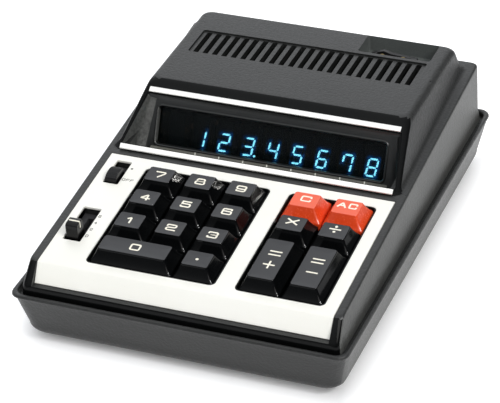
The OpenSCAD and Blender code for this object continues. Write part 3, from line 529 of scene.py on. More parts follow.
def soften(obj, width, steps=2, angle=32):
    """Rounds the edges sharper than angle."""
    bevel = obj.modifiers.new("edge", "BEVEL")
    bevel.width = width * MM
    bevel.segments = steps
    bevel.limit_method = "ANGLE"
    bevel.angle_limit = math.radians(angle)
    bevel.harden_normals = True
    return obj


def repaint(obj, finish, chosen):
    """Gives a second finish to the faces that a test on their normals and middles (mm) chooses."""
    mesh = obj.data
    normal, middle = np.empty((2, len(mesh.polygons) * 3))
    mesh.polygons.foreach_get("normal", normal)
    mesh.polygons.foreach_get("center", middle)
    index = np.empty(len(mesh.polygons), np.int32)
    mesh.polygons.foreach_get("material_index", index)
    mask = chosen(normal.reshape(-1, 3), middle.reshape(-1, 3) / MM)
    index[mask] = len(mesh.materials)
    mesh.materials.append(FINISH[finish])
    mesh.polygons.foreach_set("material_index", index)
    return int(mask.sum())


print("making, cutting and softening ready")

# %% [markdown]
# ## Bottom case
# The tray is one moulding: a flat floor, a rounded lower edge, drawn sides and a rolled rim. It is
# a closed skin through rounded rectangles that follow the wall's section, out from the floor, up
# over the rim and back down inside. The rim's corners are tighter than the wall's, so the lip stands
# out there. A screw well is bored at each corner afterwards.

# %% Bottom case
WALL = 2.4
TRAY_DRAW, TRAY_EDGE, TRAY_CORNER, CORNER = 4.0, 6.0, 7.0, 5.0
GROOVE_W, GROOVE_H = 1.6, 2.5
SCREW_BORE = 3.5
SEAT_Z = RIM_Z - GROOVE_H


def level_ring(half_w, half_d, z, corner):
    """Rounded rectangle about the middle, at height z."""
    return laid(rounded(-half_w, half_w, -half_d, half_d, corner), TABLE, z)


def wall_inset(z):
    """Draw of the side wall at height z, straight from the rounded edge to the rim."""
    low = FOOT_H + TRAY_EDGE
    return TRAY_DRAW * (RIM_Z - z) / (RIM_Z - low)


section = [(TRAY_DRAW + TRAY_EDGE * (1 - math.sin(a)), FOOT_H + TRAY_EDGE * (1 - math.cos(a)))
           for a in np.radians(np.linspace(0, 90, 9))]
section += [(wall_inset(z), z) for z in (12.0, 16.0, 20.0, RIM_Z - 2.2)]
lip = [(0.06, RIM_Z - 1.1), (0.16, RIM_Z - 0.55), (0.42, RIM_Z - 0.16), (0.85, RIM_Z), (1.6, RIM_Z),
       (2.0, RIM_Z - 0.14), (2.3, RIM_Z - 0.5), (WALL, RIM_Z - 1.0), (WALL, SEAT_Z),
       (WALL + GROOVE_W + WALL, SEAT_Z), (WALL + GROOVE_W + WALL, SEAT_Z - 2), (WALL + 1.4, SEAT_Z - 2),
       (TRAY_DRAW + WALL, FOOT_H + WALL + 5), (TRAY_DRAW + WALL + 5, FOOT_H + WALL)]
corners = [TRAY_CORNER] * len(section) + [CORNER - min(i, 4) * 0.3 for i, _ in lip]
tray_rings = [level_ring(RIM_X - i, RIM_Y - i, z, corner) for (i, z), corner in zip(section + lip, corners)]
tray = make("tray_shell", loft(tray_rings), "case_plastic", replaces=["bottom_case"])
SCREWS = [(-60, BEND_Y - 0.8), (60, BEND_Y - 0.8), (-59.5, 84.8), (59.5, 84.8)]
# The tray's side walls take the lighter plastic: painted light on them.
repaint(tray, "cheek_grain", lambda n, m: (np.abs(n[:, 0]) > 0.8) & (m[:, 2] < RIM_Z - 1))
carve(tray, gather([lathe([(SCREW_BORE, FOOT_H - 1), (SCREW_BORE, FOOT_H + 3.2)], at, TABLE) for at in SCREWS]))
print("tray rings:", len(tray_rings))

# %% [markdown]
# ## Top case: skirt and ledge
# Above the groove the top case rises as a narrow brow, leans in to the deck's edge and turns over
# into the black ledge around the face plate. It is a ring-shaped skin: up the outside, over a
# rounded edge, in under the plate and back down inside, closed on itself. The bed of the folded
# plate is cut out of it with the plate's own section.

# %% Top case: skirt and ledge
SKIRT_X, SKIRT_Y = RIM_X - WALL - GROOVE_W, RIM_Y - WALL - GROOVE_W
BROW_Z, BROW_IN = 28.6, 1.2
LEDGE_X, LEDGE_END = RIM_X - 5.4, (RIM_Y - 3.7 - BEND_Y) / math.cos(math.radians(DECK_SLOPE))
LEDGE_R, SKIRT_R, EDGE_ROUND = 3.0, CORNER - WALL, 1.3
PLATE_X, PLATE_LEN, PLATE_T, FASCIA_LEN = 66.6, 79.93, 1.2, 9.7
FOLD = math.radians(51 + DECK_SLOPE)
DECK_UNDER = PLATE_T + WALL
BED_GAP, OPEN_UP, OPEN_AHEAD = 0.2, 6, 24


def skirt_ring(inset_x, inset_y, z):
    """Outline of the skirt, inset from its foot, at height z."""
    return level_ring(SKIRT_X - inset_x, SKIRT_Y - inset_y, z, SKIRT_R)


def ledge_ring(inset, n):
    """Outline of the deck, inset from its edge and n out of it."""
    return laid(rounded(-LEDGE_X + inset, LEDGE_X - inset, inset, LEDGE_END - inset, LEDGE_R), DECK, n)


brow, edge, inner = skirt_ring(0.6, BROW_IN, BROW_Z), ledge_ring(0, 0), ledge_ring(EDGE_ROUND, 0)
below = edge + EDGE_ROUND * unit(brow - edge)
turn = np.linspace(0, 1, 6)[:, None, None]
rolled = (1 - turn) ** 2 * below + 2 * turn * (1 - turn) * edge + turn ** 2 * inner
skirt_rings = [skirt_ring(0, 0, SEAT_Z + 0.02), skirt_ring(0.25, 0.3, BROW_Z - 2.2), brow, *rolled,
               ledge_ring(9, 0), ledge_ring(9, -DECK_UNDER), skirt_ring(WALL + 1, WALL + 1.6, BROW_Z - 1),
               skirt_ring(WALL, WALL, SEAT_Z + 0.02)]
skirt = make("top_case_skirt", loft(skirt_rings, close=True), "case_plastic", replaces=["top_case"])


def fascia_foot(length):
    """Outer and inner corner of the fascia's lower edge, length from the fold."""
    foot = np.array([-math.cos(FOLD), -math.sin(FOLD)]) * length
    return foot, foot + PLATE_T * np.array([math.sin(FOLD), -math.cos(FOLD)])


def plate_bed(half_w):
    """The plate's section with a gap round it, opened outwards: deck, bend and fascia."""
    end = PLATE_LEN + BED_GAP
    foot, inside = fascia_foot(FASCIA_LEN + BED_GAP)
    return across([(end, OPEN_UP), (-OPEN_AHEAD, OPEN_UP), foot - [OPEN_AHEAD, 0], foot, inside,
                   (PLATE_T * math.tan(FOLD / 2), -PLATE_T), (end, -PLATE_T)], half_w, DECK)


carve(skirt, plate_bed(PLATE_X + 0.25))
repaint(skirt, "front_gloss", lambda n, m: (n[:, 1] < -0.5) & (n[:, 2] > 0.05) & (m[:, 1] < -RIM_Y + 14))
# The skirt's side walls take the lighter plastic: painted light on them.
repaint(skirt, "cheek_grain", lambda n, m: np.abs(n[:, 0]) > 0.8)
print("skirt rings:", len(skirt_rings))

# %% [markdown]
# ## Wells, slots and the deck under the plate
# Two key wells and two switch slots go through plate and deck alike, so their outlines are worked
# out once. The deck under the plate is a slab of its own here: it gives each opening the thick
# black wall that shows below the white edge, and the black band behind the plate. A glossy lip lines
# each key well, just inside the enamel.

# %% Wells, slots and the deck under the plate
KEY_PX, KEY_PY, KEY_GAP, ROW_0 = 19.05, 16.83, 0.9, 14.3
NUMBER_X, OPERATOR_X, WELL_MARGIN = -17.5, 40.69, 1.35
SLIDE_X = -58.5
SLOTS = {"power": (7.0, 16.7, 67.33), "decimal": (8.2, 23.4, 28.7)}


def well(middle, columns, grow=0.0):
    """Outline of a well: the block of keys and a margin, with round corners."""
    half = columns * KEY_PX / 2 - KEY_GAP / 2 + WELL_MARGIN + grow
    low = ROW_0 - KEY_PY / 2 + KEY_GAP / 2 - WELL_MARGIN - grow
    high = ROW_0 + 3.5 * KEY_PY - KEY_GAP / 2 + WELL_MARGIN + grow
    return rounded(middle - half, middle + half, low, high, 2.5 + grow, 8)


def slot_outline(w, length, s):
    """Outline of a switch slot, its middle s up the deck."""
    return rounded(SLIDE_X - w / 2, SLIDE_X + w / 2, s - length / 2, s + length / 2, 0.4, 3)


OPENINGS = [well(NUMBER_X, 3), well(OPERATOR_X, 2), *(slot_outline(*size) for size in SLOTS.values())]


def through(n0, n1):
    """All four openings as one cutting skin."""
    return gather([prism(o, DECK, n0, n1) for o in OPENINGS])


def well_rim(middle, columns):
    """A thin lip round a well: under the plate's edge, up inside it, over a small round and down."""
    steps = [(0.3, -1.7), (0.3, -1.25), (-0.03, -1.25), (-0.03, -0.3), (-0.2, -0.12), (-0.5, -0.12),
             (-0.75, -0.4), (-0.75, -1.7)]
    return loft([laid(well(middle, columns, grow), DECK, n) for grow, n in steps], close=True)


deck = make("top_case_deck", prism(rounded(-63, 63, 2.5, FRONT_S + 1.5, 1), DECK, -DECK_UNDER, -0.03), "case_plastic")
carve(deck, plate_bed(70))
for piece in (deck, skirt):
    carve(piece, through(-9, 4))
make("well_lips", gather([well_rim(NUMBER_X, 3), well_rim(OPERATOR_X, 2)]), "front_gloss", slot="case_plastic")
print("openings:", len(OPENINGS))

# %% [markdown]
# ## Face plate
# The plate is one sheet: flat over the deck, bent over a small radius at the front and ending in
# the short sloping fascia. Its section is a line with an arc in it, thickened, and drawn across.
# The openings are cut after that and all edges get the softness of sprayed paint.

# %% Face plate
BEND_R = 1.6


def plate_section():
    """Outer face from rear to fascia foot with an arc of BEND_R at the fold, then back along the inner face."""
    def bend(r):
        """The arc of radius r about the fold's middle."""
        return np.stack([BEND_R * math.tan(FOLD / 2) - r * np.sin(arc), -BEND_R + r * np.cos(arc)], -1)
    arc = np.linspace(0, FOLD, 9)
    return np.concatenate([[[PLATE_LEN, 0]], bend(BEND_R), fascia_foot(FASCIA_LEN), bend(BEND_R - PLATE_T)[::-1],
                           [[PLATE_LEN, -PLATE_T]]])


plate = make("face_plate_sheet", across(plate_section(), PLATE_X, DECK), "face_enamel", replaces=["faceplate"])
carve(plate, through(-6, 4))
soften(plate, 0.3, 3)
print("plate reaches", round(PLATE_LEN + FASCIA_LEN, 1), "mm of sheet")

# %% [markdown]
# ## Hood
# The hood is a closed block through rings that start on the sloping deck and end on the level top:
# each ring is a blend of the two planes. Side and rear walls lean in as they rise, the foot flares
# into the ledge in a small hollow, and the top edge turns over a radius. The display mouth, the
# sunk ventilation field with its slots and the inlet pocket are then cut into the block.

# %% Hood
HOOD_HALF, HOOD_LEAN, HOOD_REAR, TOP_ROUND = 66.7, 0.237, RIM_Y - 11.7, 3.0
REAR_CORNER, FRONT_CORNER, FOOT_FLARE = 4.0, 4.2, 2.2
SLOPE = math.tan(math.radians(DECK_SLOPE))
RAMP = math.tan(math.radians(FRONT_SLOPE))
FRONT_Y, FRONT_Z = FRONT.origin[1:]


def hood_ring(f, grow=0.0, lift=0.0):
    """Plane a share f of the way from deck to top; front edge on the sloping front; width and rear lean with
    height."""
    def height(y):
        return (1 - f) * (FRONT_Z + (y - FRONT_Y) * SLOPE) + f * HOOD_Z + lift
    front = FRONT_Y + (f * (HOOD_Z - FRONT_Z) + lift) / (RAMP - (1 - f) * SLOPE)
    rear = (HOOD_REAR + HOOD_LEAN * (HOOD_Z - lift - f * HOOD_Z - (1 - f) * (FRONT_Z - FRONT_Y * SLOPE))) / (
        1 + HOOD_LEAN * (1 - f) * SLOPE)
    return hood_outline(front, rear + grow, height, grow)


def hood_outline(front, rear, height, grow):
    """Rounded outline, sharper at the front corners, its x scaled to the hood's width at each point's height."""
    unit = 60.0
    back_half = rounded(-unit, unit, rear - 40, rear, REAR_CORNER, 8)
    front_half = rounded(-unit, unit, front, front + 40, FRONT_CORNER, 8)
    p = np.where((back_half[:, 1] > rear - 20)[:, None], back_half, front_half)
    z = height(p[:, 1])
    half = HOOD_HALF + HOOD_LEAN * (FRONT_Z - z) + grow
    return TABLE.at(p[:, 0] * half / unit, p[:, 1], z)


rings = [hood_ring(0, FOOT_FLARE, -1.5)]
for a in np.radians(np.linspace(0, 80, 6)):
    rings.append(hood_ring(0, FOOT_FLARE * (1 - math.sin(a)), FOOT_FLARE * (1 - math.cos(a))))
rings += [hood_ring(f) for f in (0.2, 0.45, 0.7)]
for a in np.radians(np.linspace(0, 90, 7)):
    z, inset = HOOD_Z - TOP_ROUND * (1 - math.sin(a)), TOP_ROUND * (1 - math.cos(a))
    front = FRONT_Y + (z - FRONT_Z) / RAMP + inset * 0.6
    rear = HOOD_REAR + HOOD_LEAN * (HOOD_Z - z) - inset
    rings.append(hood_outline(front, rear, lambda y, z=z: np.full_like(y, z), -inset))
hood = make("top_case_hood", loft(rings), "case_plastic")
MOUTH = np.array([(-MOUTH_HALF, MOUTH_LOW), (MOUTH_HALF, MOUTH_LOW), (MOUTH_TOP_HALF, MOUTH_HIGH),
                  (-MOUTH_TOP_HALF, MOUTH_HIGH)])
carve(hood, prism(MOUTH, FRONT, -24, 6))
print("hood rings:", len(rings))

# %% Ventilation field and inlet pocket
VENT_HALF, VENT_LOW, VENT_HIGH, VENT_COUNT, VENT_SHARE, VENT_SINK = 53.5, 52.2, 71.2, 23, 0.55, 0.8
POCKET = (20.4, 55.0, 74.0, 89.6)
inlet_low = box_mm("power_inlet")[0]
POCKET_Z = inlet_low[2]
pitch = 2 * VENT_HALF / VENT_COUNT
centres = -VENT_HALF + (np.arange(VENT_COUNT) + 0.5) * pitch
carve(hood, prism(rounded(-VENT_HALF - 1, VENT_HALF + 1, VENT_LOW - 0.8, VENT_HIGH + 0.8, 1.0, 4), TABLE,
                  HOOD_Z - VENT_SINK, HOOD_Z + 2))
slot_half = pitch * VENT_SHARE / 2
carve(hood, gather([prism(rounded(x - slot_half, x + slot_half, VENT_LOW, VENT_HIGH, 0.5, 3), TABLE,
                          HOOD_Z - 7, HOOD_Z + 2) for x in centres]))
carve(hood, prism(rounded(*POCKET, 1.2, 4), TABLE, POCKET_Z, HOOD_Z + 3))
print("vent pitch", round(pitch, 2), "mm; pocket floor at", round(float(POCKET_Z), 1))

# %% [markdown]
# ## Gloss on the hood's front, painted light in its pocket
# The tool for the hood was grained on top and at the sides, but polished where the hood frames the
# display. That is a second finish on the same moulding, so it goes on by face: those at the front
# whose normals look forwards, with a little give where they turn to the side. The pocket's faces
# are chosen by place instead; the lighter grey they take is painted light, for the light the pocket catches.

# %% Gloss on the hood's front, painted light in its pocket
FORWARDS, GIVE, GIVE_END, SLACK = -0.3, 0.36, 0.5, 0.1


def frames_display(n, m):
    """Faces that look forwards; the limit eases with the turn to the side, up to GIVE_END."""
    eased = FORWARDS + GIVE * np.minimum(np.abs(n[:, 0]), GIVE_END)
    return (n[:, 1] < eased) & (m[:, 1] < FRONT_Y + 40)


def lines_pocket(n, m):
    """Faces whose middles lie in the pocket, below the hood's top."""
    low = [POCKET[0] - SLACK, POCKET[2] - SLACK, POCKET_Z - SLACK]
    high = [POCKET[1] + SLACK, POCKET[3] + SLACK, HOOD_Z - SLACK]
    return np.all((m > low) & (m < high), axis=1)


print("glossy faces:", repaint(hood, "front_gloss", frames_display))
# The pocket's faces take a lighter grey: painted light inside the pocket.
print("lined faces:", repaint(hood, "pocket_grey", lines_pocket))

# %% [markdown]
# ## Display bezel and window
# The bezel is a funnel: from the mouth's edge its cheeks, floor and roof run back to the display
# face, which frames the window. A skin through four-cornered rings follows it: mouth edge, face,
# a bead round the window, then behind and forward again to close. The cheeks are hollow: their
# inset grows with the fourth power of the way back. The smoked window is a slab with a polished
# edge, behind the lip.

# %% Display bezel and window
WINDOW_HALF, WINDOW_LOW = 54.0, FACE_H * 0.1805
WINDOW_HIGH = WINDOW_LOW + FACE_H * 0.639
CHEEK, LIP, FLOOR_T = 1.6, 0.55, 1.2


def four(plane, low_half, low, high_half, high, n, r, steps=5):
    """A rounded four-sided ring: the unit rectangle's outline squeezed to its lower and upper width."""
    p = rounded(-low_half, low_half, low, high, r, steps)
    share = (p[:, 1] - low) / (high - low)
    squeeze = 1 + (high_half / low_half - 1) * share
    return plane.at(p[:, 0] * squeeze, p[:, 1], n)


def mouth_half(up, inset):
    """Half width of the mouth at a distance up the hood front, less an inset."""
    return MOUTH_HALF + (MOUTH_TOP_HALF - MOUTH_HALF) * (up - MOUTH_LOW) / (MOUTH_HIGH - MOUTH_LOW) - inset


def face_half(t, inset):
    """Half width of the mouth level with a height t on the display face, less an inset."""
    return mouth_half(FRONT.up_of(FACE.at(0, t, 0)), inset)


FACE_TOP = FACE_H - 0.8
CHEEK_HOLLOW = 0.055
BEAD = ((1.3, 0.0), (1.15, 0.3), (0.85, 0.5), (0.55, 0.5), (0.25, 0.3), (0.1, -0.1), (0, -0.8), (0, -2.0))
PANE_EDGE = ((1.2, -4.0), (1.2, -2.3), (1.1, -2.1), (0.9, -2.03))


def mouth_ring(side, low, high, n, r):
    """Ring in the mouth, drawn in at the sides, below and above."""
    return four(FRONT, MOUTH_HALF - side, MOUTH_LOW + low, MOUTH_TOP_HALF - side, MOUTH_HIGH - high, n, r)


def window_ring(grow, n, r):
    """Ring round the window, larger by grow."""
    half = WINDOW_HALF + grow
    return four(FACE, half, WINDOW_LOW - grow, half, WINDOW_HIGH + grow, n, r)


rim = mouth_ring(LIP, 1.2, 0.6, -0.3, 0.6)
face = four(FACE, face_half(FLOOR_T, CHEEK), FLOOR_T, face_half(FACE_TOP, CHEEK), FACE_TOP, 0.0, 0.8)
hollow = [((1 - k) * rim + k * face) * [1 - CHEEK_HOLLOW * k ** 4, 1, 1] for k in np.linspace(0, 1, 9)]
bezel_rings = [mouth_ring(0.15, 0.15, 0.15, -0.5, 0.3), mouth_ring(0.3, 0.4, 0.3, -0.25, 0.4), *hollow,
               *(window_ring(grow, n, 1.5 + grow) for grow, n in BEAD),
               four(FACE, face_half(0, 0.4), -0.4, face_half(FACE_TOP, 0.4), FACE_TOP + 0.3, -2.0, 0.8)]
bezel = make("display_bezel_moulding", loft(bezel_rings, close=True), "bezel_plastic", replaces=["display_bezel"],
             smooth=40)
# The bezel's left cheek, which faces right, takes the lighter plastic: painted light falling on it.
repaint(bezel, "cheek_grain", lambda n, m: (n[:, 0] > 0.4) & (m[:, 0] < -WINDOW_HALF))
repaint(bezel, "front_gloss", lambda n, m: (n @ FRONT.out > 0.7) & ((m - FRONT.origin) @ FRONT.out > -0.6))
make("display_window_pane", loft([window_ring(grow, n, 1.6) for grow, n in PANE_EDGE]), "smoked_filter",
     replaces=["display_window"])
print("window", 2 * WINDOW_HALF, "x", round(WINDOW_HIGH - WINDOW_LOW, 1), "mm")

# %% [markdown]
# ## Tubes and lit figures
# Behind the window stand nine glass tubes, each with a dark plate and seven bars of phosphor that
# lean a little. The bars are one six-sided outline, stretched along the seven places of a figure
# eight; a table says which of them each figure lights. The first tube is dark.

# %% Tubes and lit figures
TUBE_PITCH, TUBE_COUNT = 11.7, 9
TUBE_D = TUBE_PITCH - 1.7
TUBE_N = -(2 + 2 + 0.3 + TUBE_D / 2)
TUBE_X = (np.arange(TUBE_COUNT) - (TUBE_COUNT - 1) / 2) * TUBE_PITCH
FIGURE_W, FIGURE_H, FIGURE_LEAN = 4.2, 7.7, math.tan(math.radians(9))
BAR, BAR_GAP = 0.8, 0.28
FIGURE_MID, FIGURE_N = 9.15, TUBE_N + 3.2
upright = Plane(*FACE.at(0, 0, TUBE_N)[1:], -FACE_LEAN)
glass_r = TUBE_D / 2
glass_section = [(0.3, 0.6), (glass_r - 0.6, 0.6), (glass_r, 1.4), (glass_r, FACE_H - 7), (glass_r - 0.5, FACE_H - 5.8),
                 (2.6, FACE_H - 4.8), (1.2, FACE_H - 4.2), (0.3, FACE_H - 4)]
make("display_tube_glass", gather([lathe(glass_section, (x, 0), upright, 28) for x in TUBE_X]), "tube_glass",
     replaces=["display_tubes"])
LIT = {"1": "bc", "2": "abged", "3": "abgcd", "4": "fgbc", "5": "afgcd", "6": "afgedc", "7": "fabc", "8": "abcdefg"}
half_w, half_h = FIGURE_W / 2, FIGURE_H / 2
ENDS = {"a": (-1, 1, 1, 1), "b": (1, 1, 1, 0), "c": (1, 0, 1, -1), "d": (-1, -1, 1, -1), "e": (-1, 0, -1, -1),
        "f": (-1, 1, -1, 0), "g": (-1, 0, 1, 0)}
BARS = {name: np.reshape(ends, (2, 2)) * [half_w, half_h] for name, ends in ENDS.items()}


def bar(x, name):
    """Six-sided bar between two corners of the figure, drawn in a little at both ends, then leaned."""
    start, end = BARS[name]
    along = unit(end - start)
    side = np.array([-along[1], along[0]]) * BAR / 2
    a, b = start + along * BAR_GAP, end - along * BAR_GAP
    c, d = a + along * BAR / 2, b - along * BAR / 2
    p = np.array([a, c - side, d - side, b, d + side, c + side])
    return np.stack([x + p[:, 0] + FIGURE_LEAN * p[:, 1], FIGURE_MID + p[:, 1]], -1)


def dot(x, y, r, steps=14):
    """A circle as an outline."""
    a = np.linspace(0, 2 * np.pi, steps, endpoint=False)
    return np.stack([x + r * np.cos(a), y + r * np.sin(a)], -1)


FIGURES = list(zip(TUBE_X[1:], "12345678"))
lit = [bar(x, b) for x, figure in FIGURES for b in LIT[figure]]
lit.append(dot(FIGURES[2][0] + half_w + 1.1, FIGURE_MID - half_h, 0.55))
dark = [bar(x, b) for x, figure in FIGURES for b in "abcdefg" if b not in LIT[figure]]
dark += [bar(TUBE_X[0], b) for b in "abcdefg"]
for title, outlines, thick, finish in (("lit", lit, 0.25, "phosphor"), ("dark", dark, 0.1, "dark_phosphor")):
    bars = gather([prism(o, FACE, FIGURE_N, FIGURE_N + thick) for o in outlines])
    make(f"display_{title}_figures", bars, finish, slot="tube_glass")
print(len(lit), "bars lit,", len(dark), "dark")

# %% Plates behind the figures
PLATE_HALF, PLATE_ROWS, PLATE_COLS, HALO_REACH = 3.6, 40, 19, 0.95


def tube_plate(x):
    """A thin plate from rings up its length: each runs across the front on a fine row and back behind it."""
    front = np.linspace(-PLATE_HALF, PLATE_HALF, PLATE_COLS)
    u = np.concatenate([front, [PLATE_HALF, -PLATE_HALF]])
    n = FIGURE_N - 0.02 - 0.4 * (np.arange(len(u)) >= PLATE_COLS)
    return loft(FACE.at(x + u, np.linspace(2.2, FACE_H - 7.6, PLATE_ROWS)[:, None], n))


def halo(points):
    """Sum over the lit bars of exp(-(d / HALO_REACH)^2), d being the distance to the bar's middle line."""
    x, t = points[:, 0], (points - FACE.origin) @ FACE.up
    place = np.stack([x, t], -1)[:, None]
    ends = np.array([BARS[b] for _, figure in FIGURES for b in LIT[figure]])
    middle = np.array([x for x, figure in FIGURES for _ in LIT[figure]])
    ends = np.stack([middle[:, None] + ends[..., 0] + FIGURE_LEAN * ends[..., 1], FIGURE_MID + ends[..., 1]], -1)
    along = ends[:, 1] - ends[:, 0]
    share = np.clip(((place - ends[:, 0]) * along).sum(-1) / (along ** 2).sum(-1), 0, 1)
    away = np.linalg.norm(place - ends[:, 0] - share[..., None] * along, axis=-1)
    return np.clip(np.exp(-(away / HALO_REACH) ** 2).sum(1), 0, 1)


plate_skin = gather([tube_plate(x) for x in TUBE_X])
plates = make("display_tube_plates", plate_skin, "tube_plate", slot="tube_glass")
plates.data.attributes.new("halo", "FLOAT", "POINT").data.foreach_set("value", halo(plate_skin[0]).astype(np.float32))
print(len(plate_skin[0]), "points on the plates")

# %% [markdown]
# ## Sill and tick marks
# The lower bar of the bezel is a lighter grey than the rest of it, painted light for the light that falls on it,
# and carries a short pale tick under each figure. Bar and ticks are slivers pressed into the face, each a few
# hundredths further out than what it lies on.

# %% Sill and tick marks
SILL_LOW, SILL_HIGH, SILL_HALF = 1.35, WINDOW_LOW - 1.3, WINDOW_HALF + 2.4
# The sill's lighter grey is painted light on the bezel's lower bar.
make("bezel_sill", prism(rounded(-SILL_HALF, SILL_HALF, SILL_LOW, SILL_HIGH, 0.5, 4), FACE, -0.4, 0.06), "sill_grey",
     slot="bezel_plastic")
TICK_SHARE = 0.983
ticks = [prism(rounded(x - 0.3, x + 0.3, 2.4, 3.8, 0.15, 3), FACE, -0.3, 0.1) for x in TICK_SHARE * TUBE_X[1:]]
make("bezel_tick_marks", gather(ticks), "tick_paint", slot="bezel_plastic")
print(len(ticks), "ticks")

# %% [markdown]
# ## Chrome strips
# A drawn strip has a nearly flat face with small turned edges, so it shows as one white line. Its
# section is a foot with that face over it, drawn across the machine. A dark ridge fills the step
# behind the lower strip.

# %% Chrome strips
STRIP_W, STRIP_T, STRIP_CROWN, STRIP_GAP = 2.6, 0.8, 0.3, 0.2
LOWER_HALF, UPPER_HALF = 64.2, 59.6


def strip_section(start, up, out):
    """Foot edge, then a nearly flat face with turned edges: height falls off with u^8, u across the width."""
    u = np.sin(np.linspace(-0.5, 0.5, 17) * np.pi)
    rise = STRIP_T - STRIP_CROWN * u ** 8
    face = start + np.outer((u + 1) / 2 * STRIP_W, up) + np.outer(rise, out)
    return np.concatenate([[start - 0.05 * out], face, [start + STRIP_W * up - 0.05 * out]])


sill = np.array([0.62 * STRIP_W + STRIP_T + 0.2, 0.786 * STRIP_W + 0.4])
sill_up = unit(sill)
sill_out = np.array([-sill_up[1], sill_up[0]])
lower_start = np.array([FRONT_S - 0.2, 0]) + sill_up * (np.linalg.norm(sill) - STRIP_W - 0.55)
upper_start = np.array([MOUTH_HIGH + STRIP_GAP, 0.0])
for title, section, half, plane in (("lower", strip_section(lower_start, sill_up, sill_out), LOWER_HALF, DECK),
                                    ("upper", strip_section(upper_start, *np.eye(2)), UPPER_HALF, FRONT)):
    make(f"{title}_strip", across(section, half, plane), "chrome_trim", replaces=[f"{title}_trim_strip"])
ridge_top = lower_start + (STRIP_W - 0.1) * sill_up
ridge = [(FRONT_S - 0.3, -0.5), tuple(ridge_top), (FRONT_S + 2.7, ridge_top[1] - 0.1), (FRONT_S + 2.7, -0.5)]
make("strip_ridge", across(ridge, LOWER_HALF - 0.3, DECK), "front_gloss", slot="case_plastic")
print("strips", STRIP_W, "mm wide")

# %% [markdown]
# ## Key caps
# A cap is a straight skirt with hollow sloping sides above it, a turned upper edge and a shallow
# dish. Rings follow that profile from skirt to crown; the rings past the turned edge take the satin
# top finish and the rest the gloss of the skirt, as on the real two-shot caps.

# %% Key caps
KEY_RISE, KEY_SINK, KEY_BEND, KEY_DRAFT, FLANK = 4.8, 4.2, 0.8, 3.1, 0.72
EDGE, EDGE_PULL, KEY_R, EDGE_R = 0.3, 0.85, 1.2, 0.95
DISH, DISH_REACH = 0.25, 4.0
COLUMN = {c: NUMBER_X + (c - 1) * KEY_PX for c in range(3)} | {c: OPERATOR_X + (c - 3.5) * KEY_PX for c in (3, 4)}
KEYS = {f"key_{i + 1}": (i % 3, 1 + i // 3, 1, 1) for i in range(9)}
KEYS |= {"key_0": (0, 0, 2, 1), "key_point": (2, 0, 1, 1), "key_plus_equals": (3, 0, 1, 2),
         "key_minus_equals": (4, 0, 1, 2), "key_multiply": (3, 2, 1, 1), "key_divide": (4, 2, 1, 1),
         "key_clear_entry": (3, 3, 1, 1), "key_all_clear": (4, 3, 1, 1)}


def key_place(name):
    """Middle of a key on the deck and half its skirt's width and depth."""
    column, row, wide, deep = KEYS[name]
    x = COLUMN[column] + (wide - 1) * KEY_PX / 2
    s = ROW_0 + (row + (deep - 1) / 2) * KEY_PY
    return x, s, (wide * KEY_PX - KEY_GAP) / 2, (deep * KEY_PY - KEY_GAP) / 2


def key_dish(x, s, half_w, half_d):
    """Drop of the crown: DISH times one minus the square of what is left of DISH_REACH from the nearest edge."""
    from_edge = np.minimum(half_w - KEY_DRAFT - np.abs(x), half_d - KEY_DRAFT - np.abs(s))
    return DISH * (1 - (1 - np.clip(from_edge / DISH_REACH, 0, 1)) ** 2)


def key_skin(name):
    """Rings from skirt to crown, each a rounded rectangle; returns the skin and the first face of the crown."""
    x, s, half_w, half_d = key_place(name)
    height = KEY_RISE - EDGE + KEY_BEND
    profile = [(0, -KEY_SINK, KEY_R), (0, -KEY_BEND - 0.3, KEY_R)]
    profile += [(KEY_DRAFT * (h / height) ** FLANK, h - KEY_BEND, KEY_R + (EDGE_R - KEY_R) * h / height)
                for h in (0.12, 0.4, 0.9, 1.6, 2.4, 3.2, 4.0, 4.7, height)]
    for a in np.radians((30, 60, 90)):
        profile.append((KEY_DRAFT + EDGE * EDGE_PULL * (1 - math.cos(a)), KEY_RISE - EDGE * (1 - math.sin(a)), EDGE_R))
    crown = len(profile) - 1
    profile += [(KEY_DRAFT + i, KEY_RISE, max(1.0 - i * 0.2, 0.3)) for i in (0.8, 1.6, 2.4, 3.2, 4.0)]
    rings = []
    for inset, n, r in profile:
        p = rounded(-half_w + inset, half_w - inset, -half_d + inset, half_d - inset, r, 5)
        drop = key_dish(*p.T, half_w, half_d) if n == KEY_RISE else 0.0
        rings.append(laid(p + [x, s], DECK, n - drop))
    return loft(rings), crown * len(rings[0])


for name in KEYS:
    red = name in ("key_clear_entry", "key_all_clear")
    finish = "key_red" if red else "key_black"
    skin, crown = key_skin(name)
    cap = make(f"{name}_cap", skin, finish, finish + "_top", body=name, replaces=[name])
    index = np.zeros(len(cap.data.polygons), np.int32)
    index[crown:] = 1
    index[-2] = 0
    cap.data.polygons.foreach_set("material_index", index)
print(len(KEYS), "key caps")

# %% [markdown]
# ## Key legends
# The legends are moulded through in cream, so they are flush strokes, not paint on a decal. Each
# sign is a few polylines in a unit box with the corners rounded off; a rectangular ribbon runs
# along them, and its height follows the crown's dish at every point.

